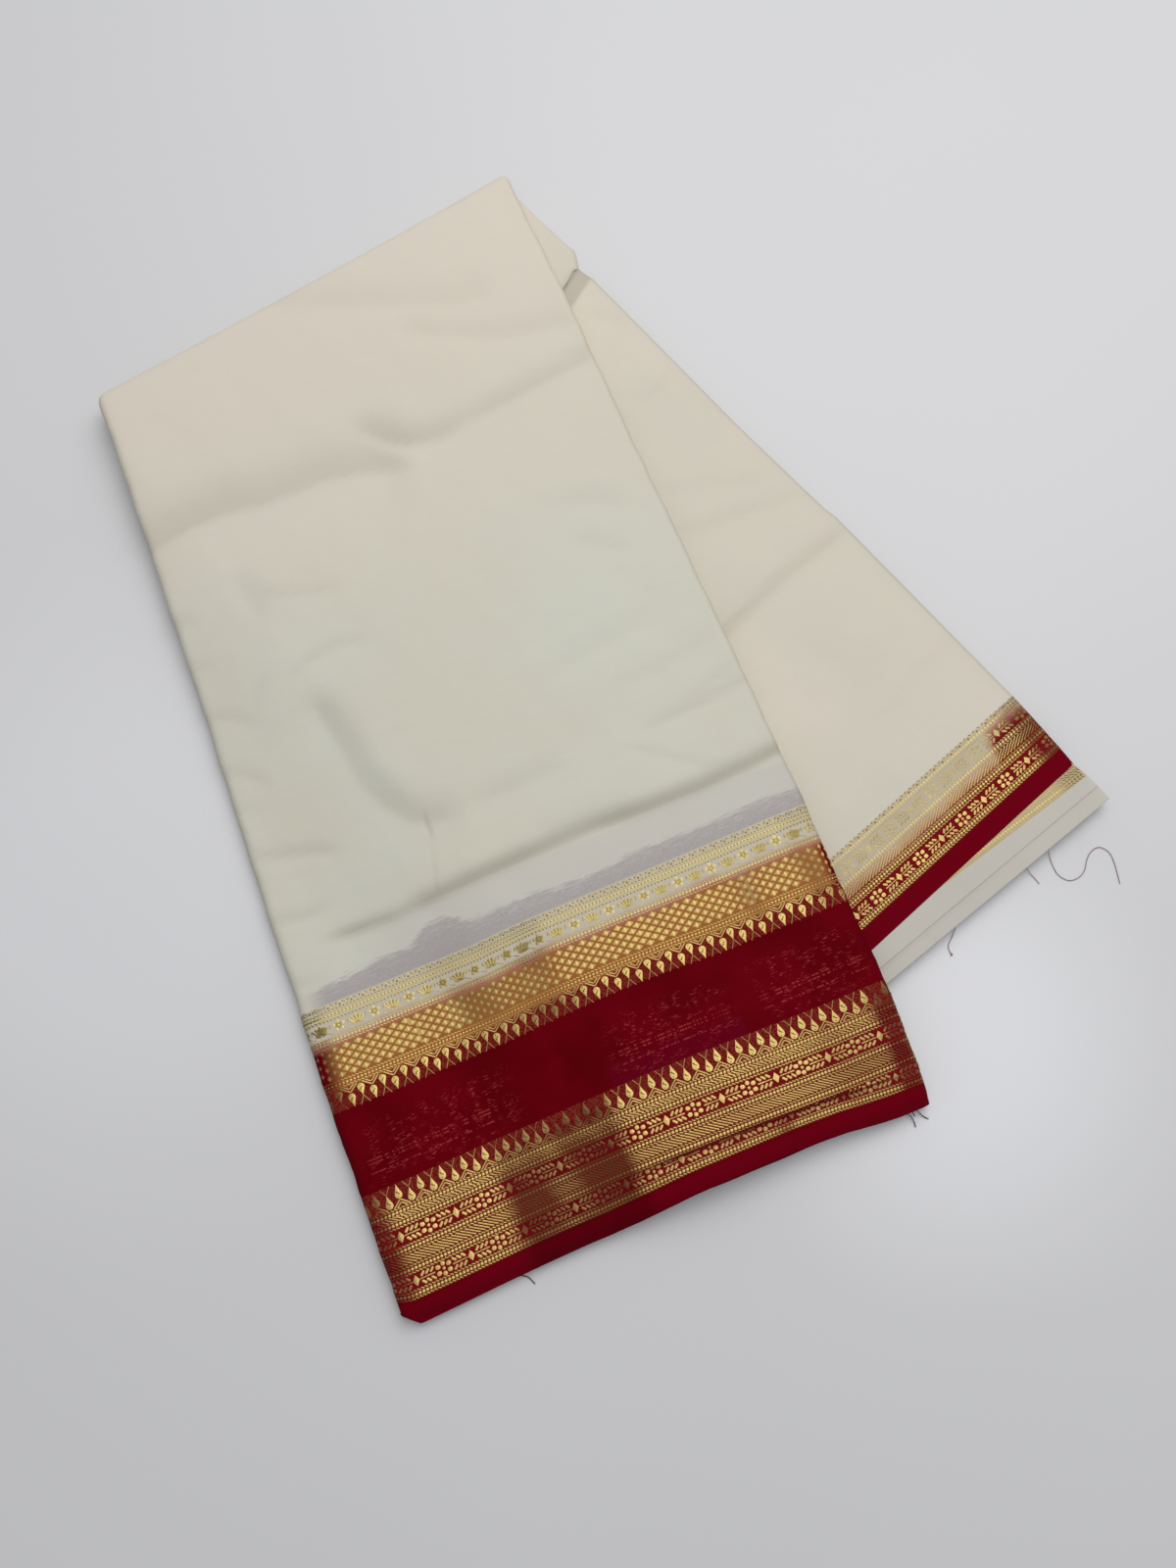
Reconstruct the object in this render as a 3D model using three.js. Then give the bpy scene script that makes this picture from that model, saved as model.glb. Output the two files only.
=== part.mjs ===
// A saree wound lengthwise into a flat strip, bent once at a slanted fold into an inverted V
// and laid on a surface. Millimetres, +Z up, +Y along the front leg toward the fold, +X across
// it. The front leg lies on the back leg and ends in the wide border, the back leg fans out to
// the right and ends in the narrow border.

import * as THREE from "three";
import { mergeVertices } from "three/addons/utils/BufferGeometryUtils.js";

// ---- Driving dimensions -------------------------------------------------------------------

const LEG_WIDTH = 281;
const FRONT_LENGTH_LEFT = 547;
const FRONT_LENGTH_RIGHT = 600;
const BACK_LENGTH = 493;
const BACK_ANGLE = THREE.MathUtils.degToRad(18.4);

const CLOTH = 1.2;
const UNDER_CLOTH = 1.0;
const GAP = 0.3;
const LEG_HEIGHT = 10.5;
const SIDE_ROUND = 5;
const TURN_REACH = 10;
const HIDDEN_DEPTH = CLOTH + GAP + 0.4;
const TOP_ROUND = 4.3;
const FOOT_ROUND = 9;
const WRAP_END = THREE.MathUtils.degToRad(-48);
const CORNER_CUT = 10;

// The front leg stays level this far past the back leg's edges, then sinks over this run.
const LEVEL_PAST = 14;
const RAMP_LEFT = 46;
const RAMP_END = 36;

// Heights over the resting plane: where the front leg lies on the back leg, and the fold's axis.
const FRONT_BED = LEG_HEIGHT + GAP;
const FOLD_AXIS_HEIGHT = LEG_HEIGHT + GAP / 2;

// Long soft troughs of the front leg's top: ends, half width and depth.
const TROUGHS = [
  { x1: 34, y1: 458, x2: 150, y2: 438, half: 13, depth: 1.5 },
  { x1: 138, y1: 463, x2: 280, y2: 458, half: 11, depth: 1.6 },
  { x1: 64, y1: 320, x2: 84, y2: 240, half: 12, depth: 1.4 },
  { x1: 90, y1: 233, x2: 170, y2: 238, half: 12, depth: 0.9 },
  { x1: 24, y1: 194, x2: 280, y2: 199, half: 9, depth: 1.8 },
];

// How far the back leg's right edge stands in from a straight line through the fold's right
// corner, along the leg.
const BACK_EDGE = [
  { along: 0, inset: 3.2 },
  { along: 20, inset: 4 },
  { along: 60, inset: 3 },
  { along: 68, inset: 2 },
  { along: 79, inset: 8.5 },
  { along: 92, inset: 6.4 },
  { along: 140, inset: 5.6 },
  { along: 220, inset: 5 },
  { along: 276, inset: 3 },
  { along: 294, inset: 2.2 },
  { along: 300, inset: 0.8 },
  { along: 450, inset: 0 },
  { along: 493, inset: 1 },
  { along: 510, inset: 0.4 },
  { along: 600, inset: 0.4 },
];

// Where each stretch of the back leg ends, measured along the leg at its left and right edge.
const TUCK = { left: 122, right: 92, opening: 10, drop: 2.4 };
const UNDER_ENDS = [
  { name: "back_under_upper", left: 502, right: 508.5, inset: 5.2 },
  { name: "back_under_lower", left: 511, right: 517.5, inset: 3.2 },
];

// Past the selvedge above them those layers stand out again to the leg's full width.
const FLARE = { from: 0.4, to: 4, inset: 0.6 };

// Steps of the hidden layers at a selvedge end: share of the height, and how far it stands in.
const TOP_INSET = 2.5;
const END_STEPS = [
  { share: 0.0, inset: 6.5 },
  { share: 0.22, inset: 4.0 },
  { share: 0.45, inset: 5.5 },
  { share: 0.68, inset: TOP_INSET },
  { share: 1.0, inset: TOP_INSET },
];

// ---- Small functions ----------------------------------------------------------------------

const mix = (from, to, share) => from + (to - from) * share;

function smooth(from, to, value) {
  return THREE.MathUtils.smoothstep(value, from, to);
}

function readTable(table, key, column, value) {
  const next = table.findIndex((row) => row[key] > value);
  if (next <= 0) {
    return table[next === 0 ? 0 : table.length - 1][column];
  }
  const low = table[next - 1];
  const high = table[next];
  return mix(low[column], high[column], (value - low[key]) / (high[key] - low[key]));
}

function evenly(from, to, count) {
  return Array.from({ length: count + 1 }, (_, k) => mix(from, to, k / count));
}

// ---- The strip's path: front leg, turn and back leg ---------------------------------------

// The back leg is measured from the fold's right corner: along it, and across to its right edge.
const ALONG = [Math.sin(BACK_ANGLE), -Math.cos(BACK_ANGLE)];
const ACROSS = [Math.cos(BACK_ANGLE), Math.sin(BACK_ANGLE)];

function foldLine(u) {
  return mix(FRONT_LENGTH_LEFT, FRONT_LENGTH_RIGHT, u / LEG_WIDTH) - TURN_REACH;
}

function alongBack(x, y) {
  return (x - LEG_WIDTH) * ALONG[0] + (y - FRONT_LENGTH_RIGHT) * ALONG[1];
}

function acrossBack(x, y) {
  return (x - LEG_WIDTH) * ACROSS[0] + (y - FRONT_LENGTH_RIGHT) * ACROSS[1];
}

const BACK_LEFT = acrossBack(0, foldLine(0));
const BACK_RIGHT = acrossBack(LEG_WIDTH, foldLine(LEG_WIDTH));

// Height of what the front leg lies on: the back leg, or the surface beside and below it.
function bed(x, y) {
  const besideLeft = acrossBack(x, y) - BACK_LEFT;
  const belowEnd = UNDER_ENDS[1].left - alongBack(x, y);
  const left = smooth(-LEVEL_PAST - RAMP_LEFT, -LEVEL_PAST, besideLeft);
  const end = smooth(-LEVEL_PAST - RAMP_END, -LEVEL_PAST, belowEnd);
  return FRONT_BED * left * end;
}

function relief(x, y) {
  let depth = 0;
  for (const t of TROUGHS) {
    const length = Math.hypot(t.x2 - t.x1, t.y2 - t.y1);
    const way = [(t.x2 - t.x1) / length, (t.y2 - t.y1) / length];
    const run = (x - t.x1) * way[0] + (y - t.y1) * way[1];
    const off = (y - t.y1) * way[0] - (x - t.x1) * way[1];
    const ends = smooth(-t.half, t.half, run) * (1 - smooth(length - t.half, length + t.half, run));
    depth += t.depth * ends * Math.exp(-((off / t.half) ** 2));
  }
  return -depth;
}

// The front leg's free end is square, with its lower left corner turned in.
function frontShare(share, u) {
  const cut = Math.max(0, CORNER_CUT - u) / foldLine(u);
  return mix(cut, 1, share);
}

// A place on the strip: u across it, h up from its inner face, and a station along it.
function onFront(u, share, h) {
  const y = frontShare(share, u) * foldLine(u);
  const sink = relief(u, y) * Math.min(1, Math.max(0, h / LEG_HEIGHT));
  return new THREE.Vector3(u, y, bed(u, y) + h + sink);
}

function onTurn(u, angle, h) {
  const reach = GAP / 2 + h;
  const stretch = TURN_REACH / (LEG_HEIGHT + GAP / 2);
  return new THREE.Vector3(
    u,
    foldLine(u) + stretch * reach * Math.sin(angle),
    FOLD_AXIS_HEIGHT + reach * Math.cos(angle),
  );
}

function onBack(u, along, h) {
  const run = along - alongBack(u, foldLine(u));
  const edge = -readTable(BACK_EDGE, "along", "inset", along) - BACK_RIGHT;
  const shift = edge * (u / LEG_WIDTH) ** 8;
  return new THREE.Vector3(
    u + ALONG[0] * run + ACROSS[0] * shift,
    foldLine(u) + ALONG[1] * run + ACROSS[1] * shift,
    LEG_HEIGHT - h,
  );
}

// ---- Cross-sections of a leg: rounded sides and a flat top --------------------------------

const ROUND_STEPS = 4;
const TOP_STEPS = 16;

// A path over the strip, from one wrapped side over its face to the other, inset by some depth.
// Height runs from the strip's inner face (0) to its outer face (LEG_HEIGHT).
function overPath(depth, lowAngle, topSteps) {
  const half = LEG_HEIGHT / 2;
  const round = SIDE_ROUND - depth;
  const rise = half - depth;
  const nose = evenly(lowAngle, Math.PI / 2, ROUND_STEPS);
  const left = nose.map((a) => ({
    u: SIDE_ROUND - round * Math.cos(a),
    h: half + rise * Math.sin(a),
  }));
  const right = left.map((p) => ({ u: LEG_WIDTH - p.u, h: p.h })).reverse();
  const top = evenly(SIDE_ROUND, LEG_WIDTH - SIDE_ROUND, topSteps).slice(1, -1);
  return [...left, ...top.map((u) => ({ u, h: half + rise })), ...right];
}

// The same path seen from the other face of the strip.
function underPath(depth, lowAngle, topSteps) {
  return overPath(depth, lowAngle, topSteps).map((p) => ({ u: p.u, h: LEG_HEIGHT - p.h }));
}

// ---- Closed solids from rows of points ----------------------------------------------------

function solid(triangles) {
  const geometry = new THREE.BufferGeometry();
  const points = triangles.flat().flatMap((p) => [p.x, p.y, p.z]);
  geometry.setAttribute("position", new THREE.Float32BufferAttribute(points, 3));
  return mergeVertices(geometry, 1e-4);
}

function quad(a, b, c, d) {
  return [[a, b, c], [a, c, d]];
}

function band(rowA, rowB) {
  const faces = [];
  for (let k = 0; k + 1 < rowA.length; k += 1) {
    faces.push(...quad(rowA[k], rowA[k + 1], rowB[k + 1], rowB[k]));
  }
  return faces;
}

function turned(faces) {
  return faces.map(([a, b, c]) => [a, c, b]);
}

// A wall between two faces, each a list of rows of points that match one to one.
function wall(outer, inner) {
  const last = outer.length - 1;
  const end = outer[0].length - 1;
  const faces = [];
  for (let j = 0; j < last; j += 1) {
    faces.push(...band(outer[j], outer[j + 1]));
    faces.push(...turned(band(inner[j], inner[j + 1])));
    faces.push(...quad(outer[j][0], outer[j + 1][0], inner[j + 1][0], inner[j][0]));
    faces.push(...quad(outer[j + 1][end], outer[j][end], inner[j][end], inner[j + 1][end]));
  }
  faces.push(...band(inner[0], outer[0]), ...band(outer[last], inner[last]));
  return solid(faces);
}

// A solid lofted through closed rings of equal count. Its quads split along the same diagonal as
// those of the wall that covers it, for which the front leg's rings come in the other order.
function lofted(rings, insideOut) {
  const faces = [];
  const closed = rings.map((ring) => [...ring, ring[0]]);
  for (let k = 0; k + 1 < closed.length; k += 1) {
    faces.push(...band(closed[k], closed[k + 1]));
  }
  faces.push(...turned(cap(rings[0])), ...cap(rings[rings.length - 1]));
  return solid(insideOut ? turned(faces) : faces);
}

// Rings run out along their upper points and back along their lower ones, so they cap in strips.
function cap(ring) {
  const faces = [];
  const count = ring.length;
  for (let k = 0; k < count / 2 - 1; k += 1) {
    faces.push(...quad(ring[k], ring[k + 1], ring[count - 2 - k], ring[count - 1 - k]));
  }
  return faces;
}

// ---- Front leg ----------------------------------------------------------------------------

const FRONT_SHARES = [0.015, 0.05, 0.1, 0.15, 0.2, 0.26, 0.31, 0.335, 0.36, 0.41, 0.5,
  0.6, 0.68, 0.75, 0.79, 0.83, 0.9, 1];
const TURN_ANGLES = evenly(0, Math.PI, 8).slice(1);

function frontRows(path) {
  const starts = [0, TOP_INSET].map((inset) =>
    path.map((p) => onFront(p.u, inset / foldLine(p.u), p.h)));
  const legRows = FRONT_SHARES.map((share) =>
    path.map((p) => onFront(p.u, share, p.h)));
  const turnRows = TURN_ANGLES.map((angle) => path.map((p) => onTurn(p.u, angle, p.h)));
  return [...starts, ...legRows, ...turnRows];
}

function frontFall() {
  const outer = frontRows(overPath(0, WRAP_END, TOP_STEPS));
  const inner = frontRows(overPath(CLOTH, WRAP_END, TOP_STEPS));
  return wall(outer, inner);
}

// Heights of a hidden solid's upper and lower face at u, rounded off at both sides.
function hiddenHeights(u, lower, upper, lowReach, highReach) {
  const nearest = Math.min(u, LEG_WIDTH - u) - HIDDEN_DEPTH;
  const rounded = (reach) => {
    const share = 1 - Math.min(1, nearest / reach);
    return mix(0.12, 1, Math.sqrt(Math.max(0, 1 - share ** 2)));
  };
  const middle = LEG_HEIGHT / 2;
  return {
    low: mix(middle, lower, rounded(lowReach)),
    high: mix(middle, upper, rounded(highReach)),
  };
}

function hiddenAcross() {
  const side = evenly(0, Math.PI / 2, 4).map((a) =>
    mix(SIDE_ROUND, HIDDEN_DEPTH, Math.cos(a)));
  const middle = evenly(SIDE_ROUND, LEG_WIDTH - SIDE_ROUND, TOP_STEPS).slice(1, -1);
  return [...side, ...middle, ...side.map((u) => LEG_WIDTH - u).reverse()];
}

// The stepped selvedge end, from its lowest layer to its highest: height and distance in.
function endSteps(low, high) {
  const points = [];
  for (let k = 0; k + 1 < END_STEPS.length; k += 1) {
    const { share, inset } = END_STEPS[k];
    points.push({ h: mix(low, high, share), inset });
    points.push({ h: mix(low, high, END_STEPS[k + 1].share), inset });
  }
  return points;
}

function frontHiddenRing(u) {
  const { low, high } = hiddenHeights(u, 0, LEG_HEIGHT - CLOTH - GAP, FOOT_ROUND, TOP_ROUND);
  const steps = endSteps(low, high).map((p) => onFront(u, p.inset / foldLine(u), p.h));
  const top = FRONT_SHARES.map((share) => onFront(u, share, high));
  const turn = TURN_ANGLES.map((angle) => onTurn(u, angle, high));
  const inside = TURN_ANGLES.map((angle) => onTurn(u, angle, low)).reverse();
  const bottom = FRONT_SHARES.map((share) => onFront(u, share, low)).reverse();
  const half = steps.length / 2;
  return [...steps.slice(half), ...top, ...turn, ...inside, ...bottom, ...steps.slice(0, half)];
}

function frontLayers() {
  return lofted(hiddenAcross().map(frontHiddenRing), true);
}

// ---- Back leg -----------------------------------------------------------------------------

const BACK_STATIONS = [20, 60, 68, 79, 92, 140, 220, 276, 294, 300, 450, BACK_LENGTH];

function tuckLine(u) {
  return mix(TUCK.left, TUCK.right, (u / LEG_WIDTH) ** 2);
}

// The cloth below the tuck begins with a lip that falls away under the stretch above it.
function backFallRows(path) {
  const fallen = path.map((p) => {
    const drop = p.h < LEG_HEIGHT / 2 ? TUCK.drop * (1 - p.h / (LEG_HEIGHT / 2)) : 0;
    return onBack(p.u, tuckLine(p.u) - TUCK.opening, p.h + drop);
  });
  const lip = path.map((p) => onBack(p.u, tuckLine(p.u), p.h));
  const stations = BACK_STATIONS.filter((along) => along > TUCK.left);
  const rows = stations.map((along) => path.map((p) => onBack(p.u, along, p.h)));
  return [fallen, lip, ...rows];
}

function backFall() {
  const outer = backFallRows(underPath(0, WRAP_END, TOP_STEPS));
  const inner = backFallRows(underPath(CLOTH, WRAP_END, TOP_STEPS));
  return wall(inner, outer);
}

// The short stretch between the turn and the tuck.
function turnFall() {
  const start = (u) => alongBack(u, foldLine(u)) + GAP;
  const end = (u) => tuckLine(u) - TUCK.opening - GAP;
  const between = BACK_STATIONS.filter((along) => along < end(LEG_WIDTH));
  const lines = [start, ...between.map((along) => () => along), end];
  const rows = (path) => lines.map((line) => path.map((p) => onBack(p.u, line(p.u), p.h)));
  const outer = rows(underPath(0, WRAP_END, TOP_STEPS));
  const inner = rows(underPath(CLOTH, WRAP_END, TOP_STEPS));
  return wall(inner, outer);
}

function backLayerTop(index) {
  return CLOTH + GAP + index * (UNDER_CLOTH + GAP);
}

// A flat layer under the back leg's top cloth that shows past its selvedge.
function backUnder(end, index) {
  const top = backLayerTop(index);
  const lines = [
    { inset: end.inset, place: (u) => tuckLine(u) + TUCK.opening },
    ...BACK_STATIONS.filter((along) => along > TUCK.left + TUCK.opening && along < BACK_LENGTH)
      .map((along) => ({ inset: end.inset, place: () => along })),
    { inset: end.inset, place: () => BACK_LENGTH + FLARE.from },
    { inset: FLARE.inset, place: () => BACK_LENGTH + FLARE.to },
    { inset: FLARE.inset, place: (u) => mix(end.left, end.right, u / LEG_WIDTH) },
  ];
  const inner = evenly(SIDE_ROUND, LEG_WIDTH - SIDE_ROUND, TOP_STEPS / 2).slice(1, -1);
  const rows = (h) => lines.map(({ inset, place }) =>
    [inset, ...inner, LEG_WIDTH - inset].map((u) => onBack(u, place(u), h)));
  return wall(rows(top + UNDER_CLOTH), rows(top));
}

function backHiddenRing(u) {
  const upper = backLayerTop(UNDER_ENDS.length);
  const { low, high } = hiddenHeights(u, upper, LEG_HEIGHT, TOP_ROUND, FOOT_ROUND);
  const start = alongBack(u, foldLine(u)) + GAP;
  const end = UNDER_ENDS[1].left - 2;
  const steps = endSteps(high, low).map((p) => onBack(u, end - p.inset + END_STEPS[3].inset, p.h));
  const run = [start, ...BACK_STATIONS];
  const topRun = run.map((along) => onBack(u, along, low)).reverse();
  const footRun = run.map((along) => onBack(u, along, high));
  const half = steps.length / 2;
  return [...steps.slice(half), ...topRun, ...footRun, ...steps.slice(0, half)];
}

function backLayers() {
  return lofted(hiddenAcross().map(backHiddenRing).reverse(), false);
}

// ---- Materials and assembly ---------------------------------------------------------------

const ivory = new THREE.MeshStandardMaterial({ color: 0xcfcab8, roughness: 0.6, metalness: 0 });
const ivoryShade = new THREE.MeshStandardMaterial({ color: 0xc4bfae, roughness: 0.7, metalness: 0 });

const saree = new THREE.Group();

function addPiece(name, geometry, material) {
  const mesh = new THREE.Mesh(geometry, material);
  mesh.name = name;
  saree.add(mesh);
}

addPiece("front_fall", frontFall(), ivory);
addPiece("front_layers", frontLayers(), ivoryShade);
addPiece("turn_fall", turnFall(), ivory);
addPiece("back_fall", backFall(), ivory);
UNDER_ENDS.forEach((end, index) => addPiece(end.name, backUnder(end, index), ivory));
addPiece("back_layers", backLayers(), ivoryShade);

// The origin is the middle of the footprint, on the resting plane.
const box = new THREE.Box3().setFromObject(saree);
const middle = box.getCenter(new THREE.Vector3());
saree.position.set(-middle.x, -middle.y, -box.min.z);

export default saree;
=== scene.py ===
"""A folded saree: an ivory strip of wound cloth, bent once, with zari borders at both ends.

Lengths are millimetres in the part's design frame (x across the front leg from its left side,
y along it from its free end, z up from the table) until place_mesh turns them into metres in
the row frame.
"""

import math

import bpy
import numpy as np
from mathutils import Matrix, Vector


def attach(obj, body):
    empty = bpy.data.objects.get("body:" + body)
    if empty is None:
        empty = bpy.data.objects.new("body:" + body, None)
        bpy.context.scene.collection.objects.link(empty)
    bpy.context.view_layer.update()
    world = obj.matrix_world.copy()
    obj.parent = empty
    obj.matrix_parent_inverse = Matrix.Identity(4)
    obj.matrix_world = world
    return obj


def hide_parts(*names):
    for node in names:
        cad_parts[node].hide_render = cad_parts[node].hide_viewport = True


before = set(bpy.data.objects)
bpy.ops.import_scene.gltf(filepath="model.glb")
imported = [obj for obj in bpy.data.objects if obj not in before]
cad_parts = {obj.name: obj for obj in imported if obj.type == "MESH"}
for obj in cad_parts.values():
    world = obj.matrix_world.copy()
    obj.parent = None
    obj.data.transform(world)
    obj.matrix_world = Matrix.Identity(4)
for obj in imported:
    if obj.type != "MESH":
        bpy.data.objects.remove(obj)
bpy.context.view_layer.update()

# ---- Sizes, the same as the CAD model's

METRE = 0.001
ORIGIN = np.array([221.742, 299.528, 0.0])
WIDTH = 281.0
LEFT_LENGTH = 547.0
RIGHT_LENGTH = 600.0
TURN_REACH = 10.0
THICK = 10.5
GAP = 0.3
SIDE = 5.0
BACK_ANGLE = math.radians(18.4)
BACK_END = 493.0
FRONT_BED = THICK + GAP
AXIS_HEIGHT = THICK + GAP / 2
ALONG = np.array([math.sin(BACK_ANGLE), -math.cos(BACK_ANGLE)])
ACROSS = np.array([math.cos(BACK_ANGLE), math.sin(BACK_ANGLE)])

# The shown cloth's thickness, a hidden layer's, and the step from one hidden layer to the next.
CLOTH = 0.42
LAYER = 0.34
PITCH = 0.48

# How far round the strip's sides the shown cloth runs, and its lengths there and round the fold.
WRAP = math.radians(168)
SIDE_ARC = (SIDE + THICK / 2) / 2
TURN_ARC = math.pi * (TURN_REACH + AXIS_HEIGHT) / 2 * 0.98

# Where the measuring origin of the crease tables lies: x and y of the design frame.
TABLE_X, TABLE_Y = 124.0, 73.0

# Creases of the front leg, from the measuring origin. Each row is the points of a low line, how
# far its steep wall reaches on the left of the line's way, how far the cloth takes to rise again
# on the right, its depth (negative for a ridge) and how much painted shade the cloth gets in it
# (painted highlight where negative).
FRONT_CREASES = [
    ([(-145, 362), (-118, 368), (-95, 372), (-75, 373), (-50, 370), (-20, 372), (5, 369), (22, 363),
      (38, 356)], 17, 30, 2.5, 0.8),
    ([(4, 402), (16, 391), (25, 382), (36, 375), (52, 372), (72, 373)], 10, 14, 2.0, 0.85),
    ([(50, 373), (78, 376), (112, 381), (150, 387), (175, 391)], 8, 30, 1.4, 0.6),
    ([(6, 388), (18, 379), (30, 370), (44, 358)], 4, 4, -0.7, -0.35),
    ([(-68, 256), (-62, 238), (-57, 215), (-54, 193), (-47, 177), (-37, 164), (-24, 158),
      (-4, 157)], 10.5, 26, 2.1, 0.8),
    ([(-14, 158), (25, 160), (56, 162)], 7, 12, 0.8, 0.35),
    ([(88, 163), (125, 166), (175, 172)], 3.5, 6, 0.8, 0.45),
    ([(112, 168), (140, 176), (170, 186)], 3, 4, 0.5, 0.25),
    ([(-64, 118.3), (-40, 119), (0, 121), (50, 123), (75, 122), (110, 122), (140, 124),
      (180, 129)], 5, 14, 1.8, 2.05),
    ([(-106, 121), (-95, 120.5), (-78, 119.5), (-60, 118.3), (-46, 118.8)], 2.6, 10, 0.8, 1.5),
    ([(-100, 120), (-75, 117), (-45, 118)], 6, 4, 0.4, 0.4),
    ([(15, 126), (45, 128), (84, 125)], 8, 8, 0.7, 0.35),
    ([(-84, 340), (-79, 320), (-73, 292)], 8, 8, 0.8, 0.4),
    ([(-80, 320), (-62, 312), (-45, 307), (-20, 303)], 3, 5, 0.6, 0.35),
    ([(-78, 259), (-60, 269), (-42, 272), (-16, 265)], 3.5, 3.5, 0.6, 0.42),
    ([(-98, 250), (-90, 262), (-83, 272)], 5, 6, 0.5, 0.3),
    ([(-135, 265), (-108, 254), (-90, 239)], 3.5, 4, 0.6, 0.4),
    ([(-135, 236), (-112, 222), (-94, 205)], 3, 3.5, 0.5, 0.38),
    ([(-135, 208), (-100, 197)], 3, 3, 0.4, 0.25),
    ([(-135, 182), (-110, 173), (-90, 168), (-70, 158)], 3.5, 4.5, 0.8, 0.6),
    ([(-135, 142), (-106, 136), (-84, 138)], 3.5, 4, 0.6, 0.45),
    ([(-135, 294), (-106, 286)], 3, 3, 0.35, 0.25),
    ([(-135, 324), (-104, 312)], 3.5, 4, 0.4, 0.3),
    ([(-135, 106), (-100, 99)], 3, 4, 0.4, 0.3),
    ([(-20, 495), (20, 479), (60, 463), (95, 450), (124, 448)], 14, 12, 0.7, 0.3),
    ([(50, 448), (90, 428), (115, 418), (165, 410)], 9, 9, 0.65, 0.36),
    ([(92, 312), (120, 301), (148, 291)], 7, 6, 0.4, 0.22),
    ([(96, 284), (136, 262)], 6, 6, 0.4, 0.2),
    ([(52, 210), (90, 218), (130, 224)], 7, 6, 0.4, 0.18),
    ([(80, 190), (120, 193), (160, 202)], 6, 6, 0.4, 0.18),
    ([(78, 162), (100, 146), (118, 132), (140, 127)], 2.2, 3, 0.4, 0.3),
    ([(-29, 168), (-29.5, 155), (-31.5, 141)], 0.9, 0.9, 0.2, 1.1),
    ([(-31, 145), (-34, 132), (-38.5, 117)], 1.1, 1.1, 0.2, 0.6),
    ([(-47, 96), (-49, -4), (-50, -90)], 9, 9, 0.6, 0.25),
    ([(-6, 96), (-9, -10), (-12, -90)], 10, 9, 0.7, 0.3),
    ([(84, -34), (85, -90)], 5, 5, 0.35, 0.2),
    ([(113, 76), (112, 40)], 5, 5, 0.35, 0.2),
]

# The tight tuck across the lower vine: where, how much cloth it takes up and where it starts.
TUCK_TABLE = [(-14, 0.0, 23.4), (10, 0.9, 23.3), (40, 2.2, 23.3), (75, 2.7, 23.2), (90, 2.7, 22.8),
              (112, 2.5, 22.2), (143, 0.7, 20.2), (154, 0.0, 19.6)]

# Creases of the back leg, from its right edge and along it from the fold.
BACK_CREASES = [
    ([(-170, 322), (-97, 311), (-50, 307), (6, 308)], 5, 8, 1.6, 0.8),
    ([(-46, 172), (4, 172)], 4, 4, 0.4, 0.3),
    ([(-90, 244), (-40, 262), (4, 280)], 5, 5, 0.5, 0.32),
    ([(-76, 216), (-40, 238), (-6, 262)], 5, 5, 0.35, 0.18),
    ([(-24, 103), (-12, 117), (-4, 136)], 4, 5, 0.5, 0.3),
    ([(-40, 142), (-14, 148)], 5, 5, 0.3, 0.15),
    ([(-70, 402), (4, 396)], 7, 6, 0.3, 0.12),
    ([(-120, 452), (-60, 449), (4, 455)], 6, 5, 0.3, 0.12),
]

# How far the back leg's right edge stands in from a straight line, along the leg, and how far
# the leg's start is drawn back toward the fold.
BACK_EDGE = [(0, 1.5), (20, 1.5), (55, 0), (67, -1.5), (78.3, 5), (89.6, 3.1), (140, 2.6), (220, 2),
             (276, 0), (294, -0.8), (300, -2.2), (450, -3), (489, -1.2), (497, -1), (510, -2),
             (600, -2)]
BACK_DRAWN = 6.0

# How far the front leg's sides stand to the right of the even strip's, by length along the leg,
# and how far its cloth reaches past the even fold at the left and at the right.
LEFT_SIDE = [(0, -2.6), (100, -3.6), (200, -3.6), (300, -2.4), (400, -1.2), (525, -0.8), (547, -2.4)]
RIGHT_SIDE = [(0, 3.4), (20, 4.6), (60, 5.6), (185, 5.5), (255, 5), (375, 2.4), (500, 0.8),
              (560, -1), (600, -2.0)]
FOLD_OUT = (0.8, 5.6)

# How far the wide border's rows drift toward the fold: by x, at six lengths from the selvedge.
DRIFT_X = [-115, -95, -60, -30, 0, 30, 60, 90, 120, 140]
DRIFT = [(0, [-1.1, -0.8, 0.2, 0.9, 1.0, 1.9, 1.3, 1.1, 0.4, 0.2]),
         (24, [-1.2, -0.8, 0.6, 1.3, 2.1, 2.2, 1.75, 1.0, 0.4, 0.4]),
         (60, [-1.4, -1.0, 0.2, 0.8, 1.3, 2.0, 1.8, 1.1, 0.5, 0.6]),
         (108, [-0.7, -0.7, 0.1, 0.5, 2.0, 3.1, 2.9, 1.6, 2.2, 2.4]),
         (162, [-0.4, -0.4, -0.3, -0.6, 1.2, 1.8, 2.2, 2.9, 3.8, 4.4]),
         (235, [0] * 10)]

# How far the free end's cloth is drawn in by its drop to the table.
END_SHRINK = 1.3

# ---- Small functions


def smooth(low, high, value):
    share = np.clip((value - low) / (high - low), 0, 1)
    return share * share * (3 - 2 * share)


def along_line(table, u):
    return np.interp(u, *zip(*table))


def wobble(value, seed, longest=90.0, count=4):
    """A smooth uneven line from -1 to 1."""
    total = np.zeros_like(np.asarray(value, float))
    for k in range(count):
        phase = math.sin(seed * 12.9898 + k * 78.233) * 43758.5453 % (2 * math.pi)
        total = total + math.sqrt(1 / (k + 1)) * np.sin(value * 2 * math.pi * (1.7**k) / longest + phase)
    return total / 2.5


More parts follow.
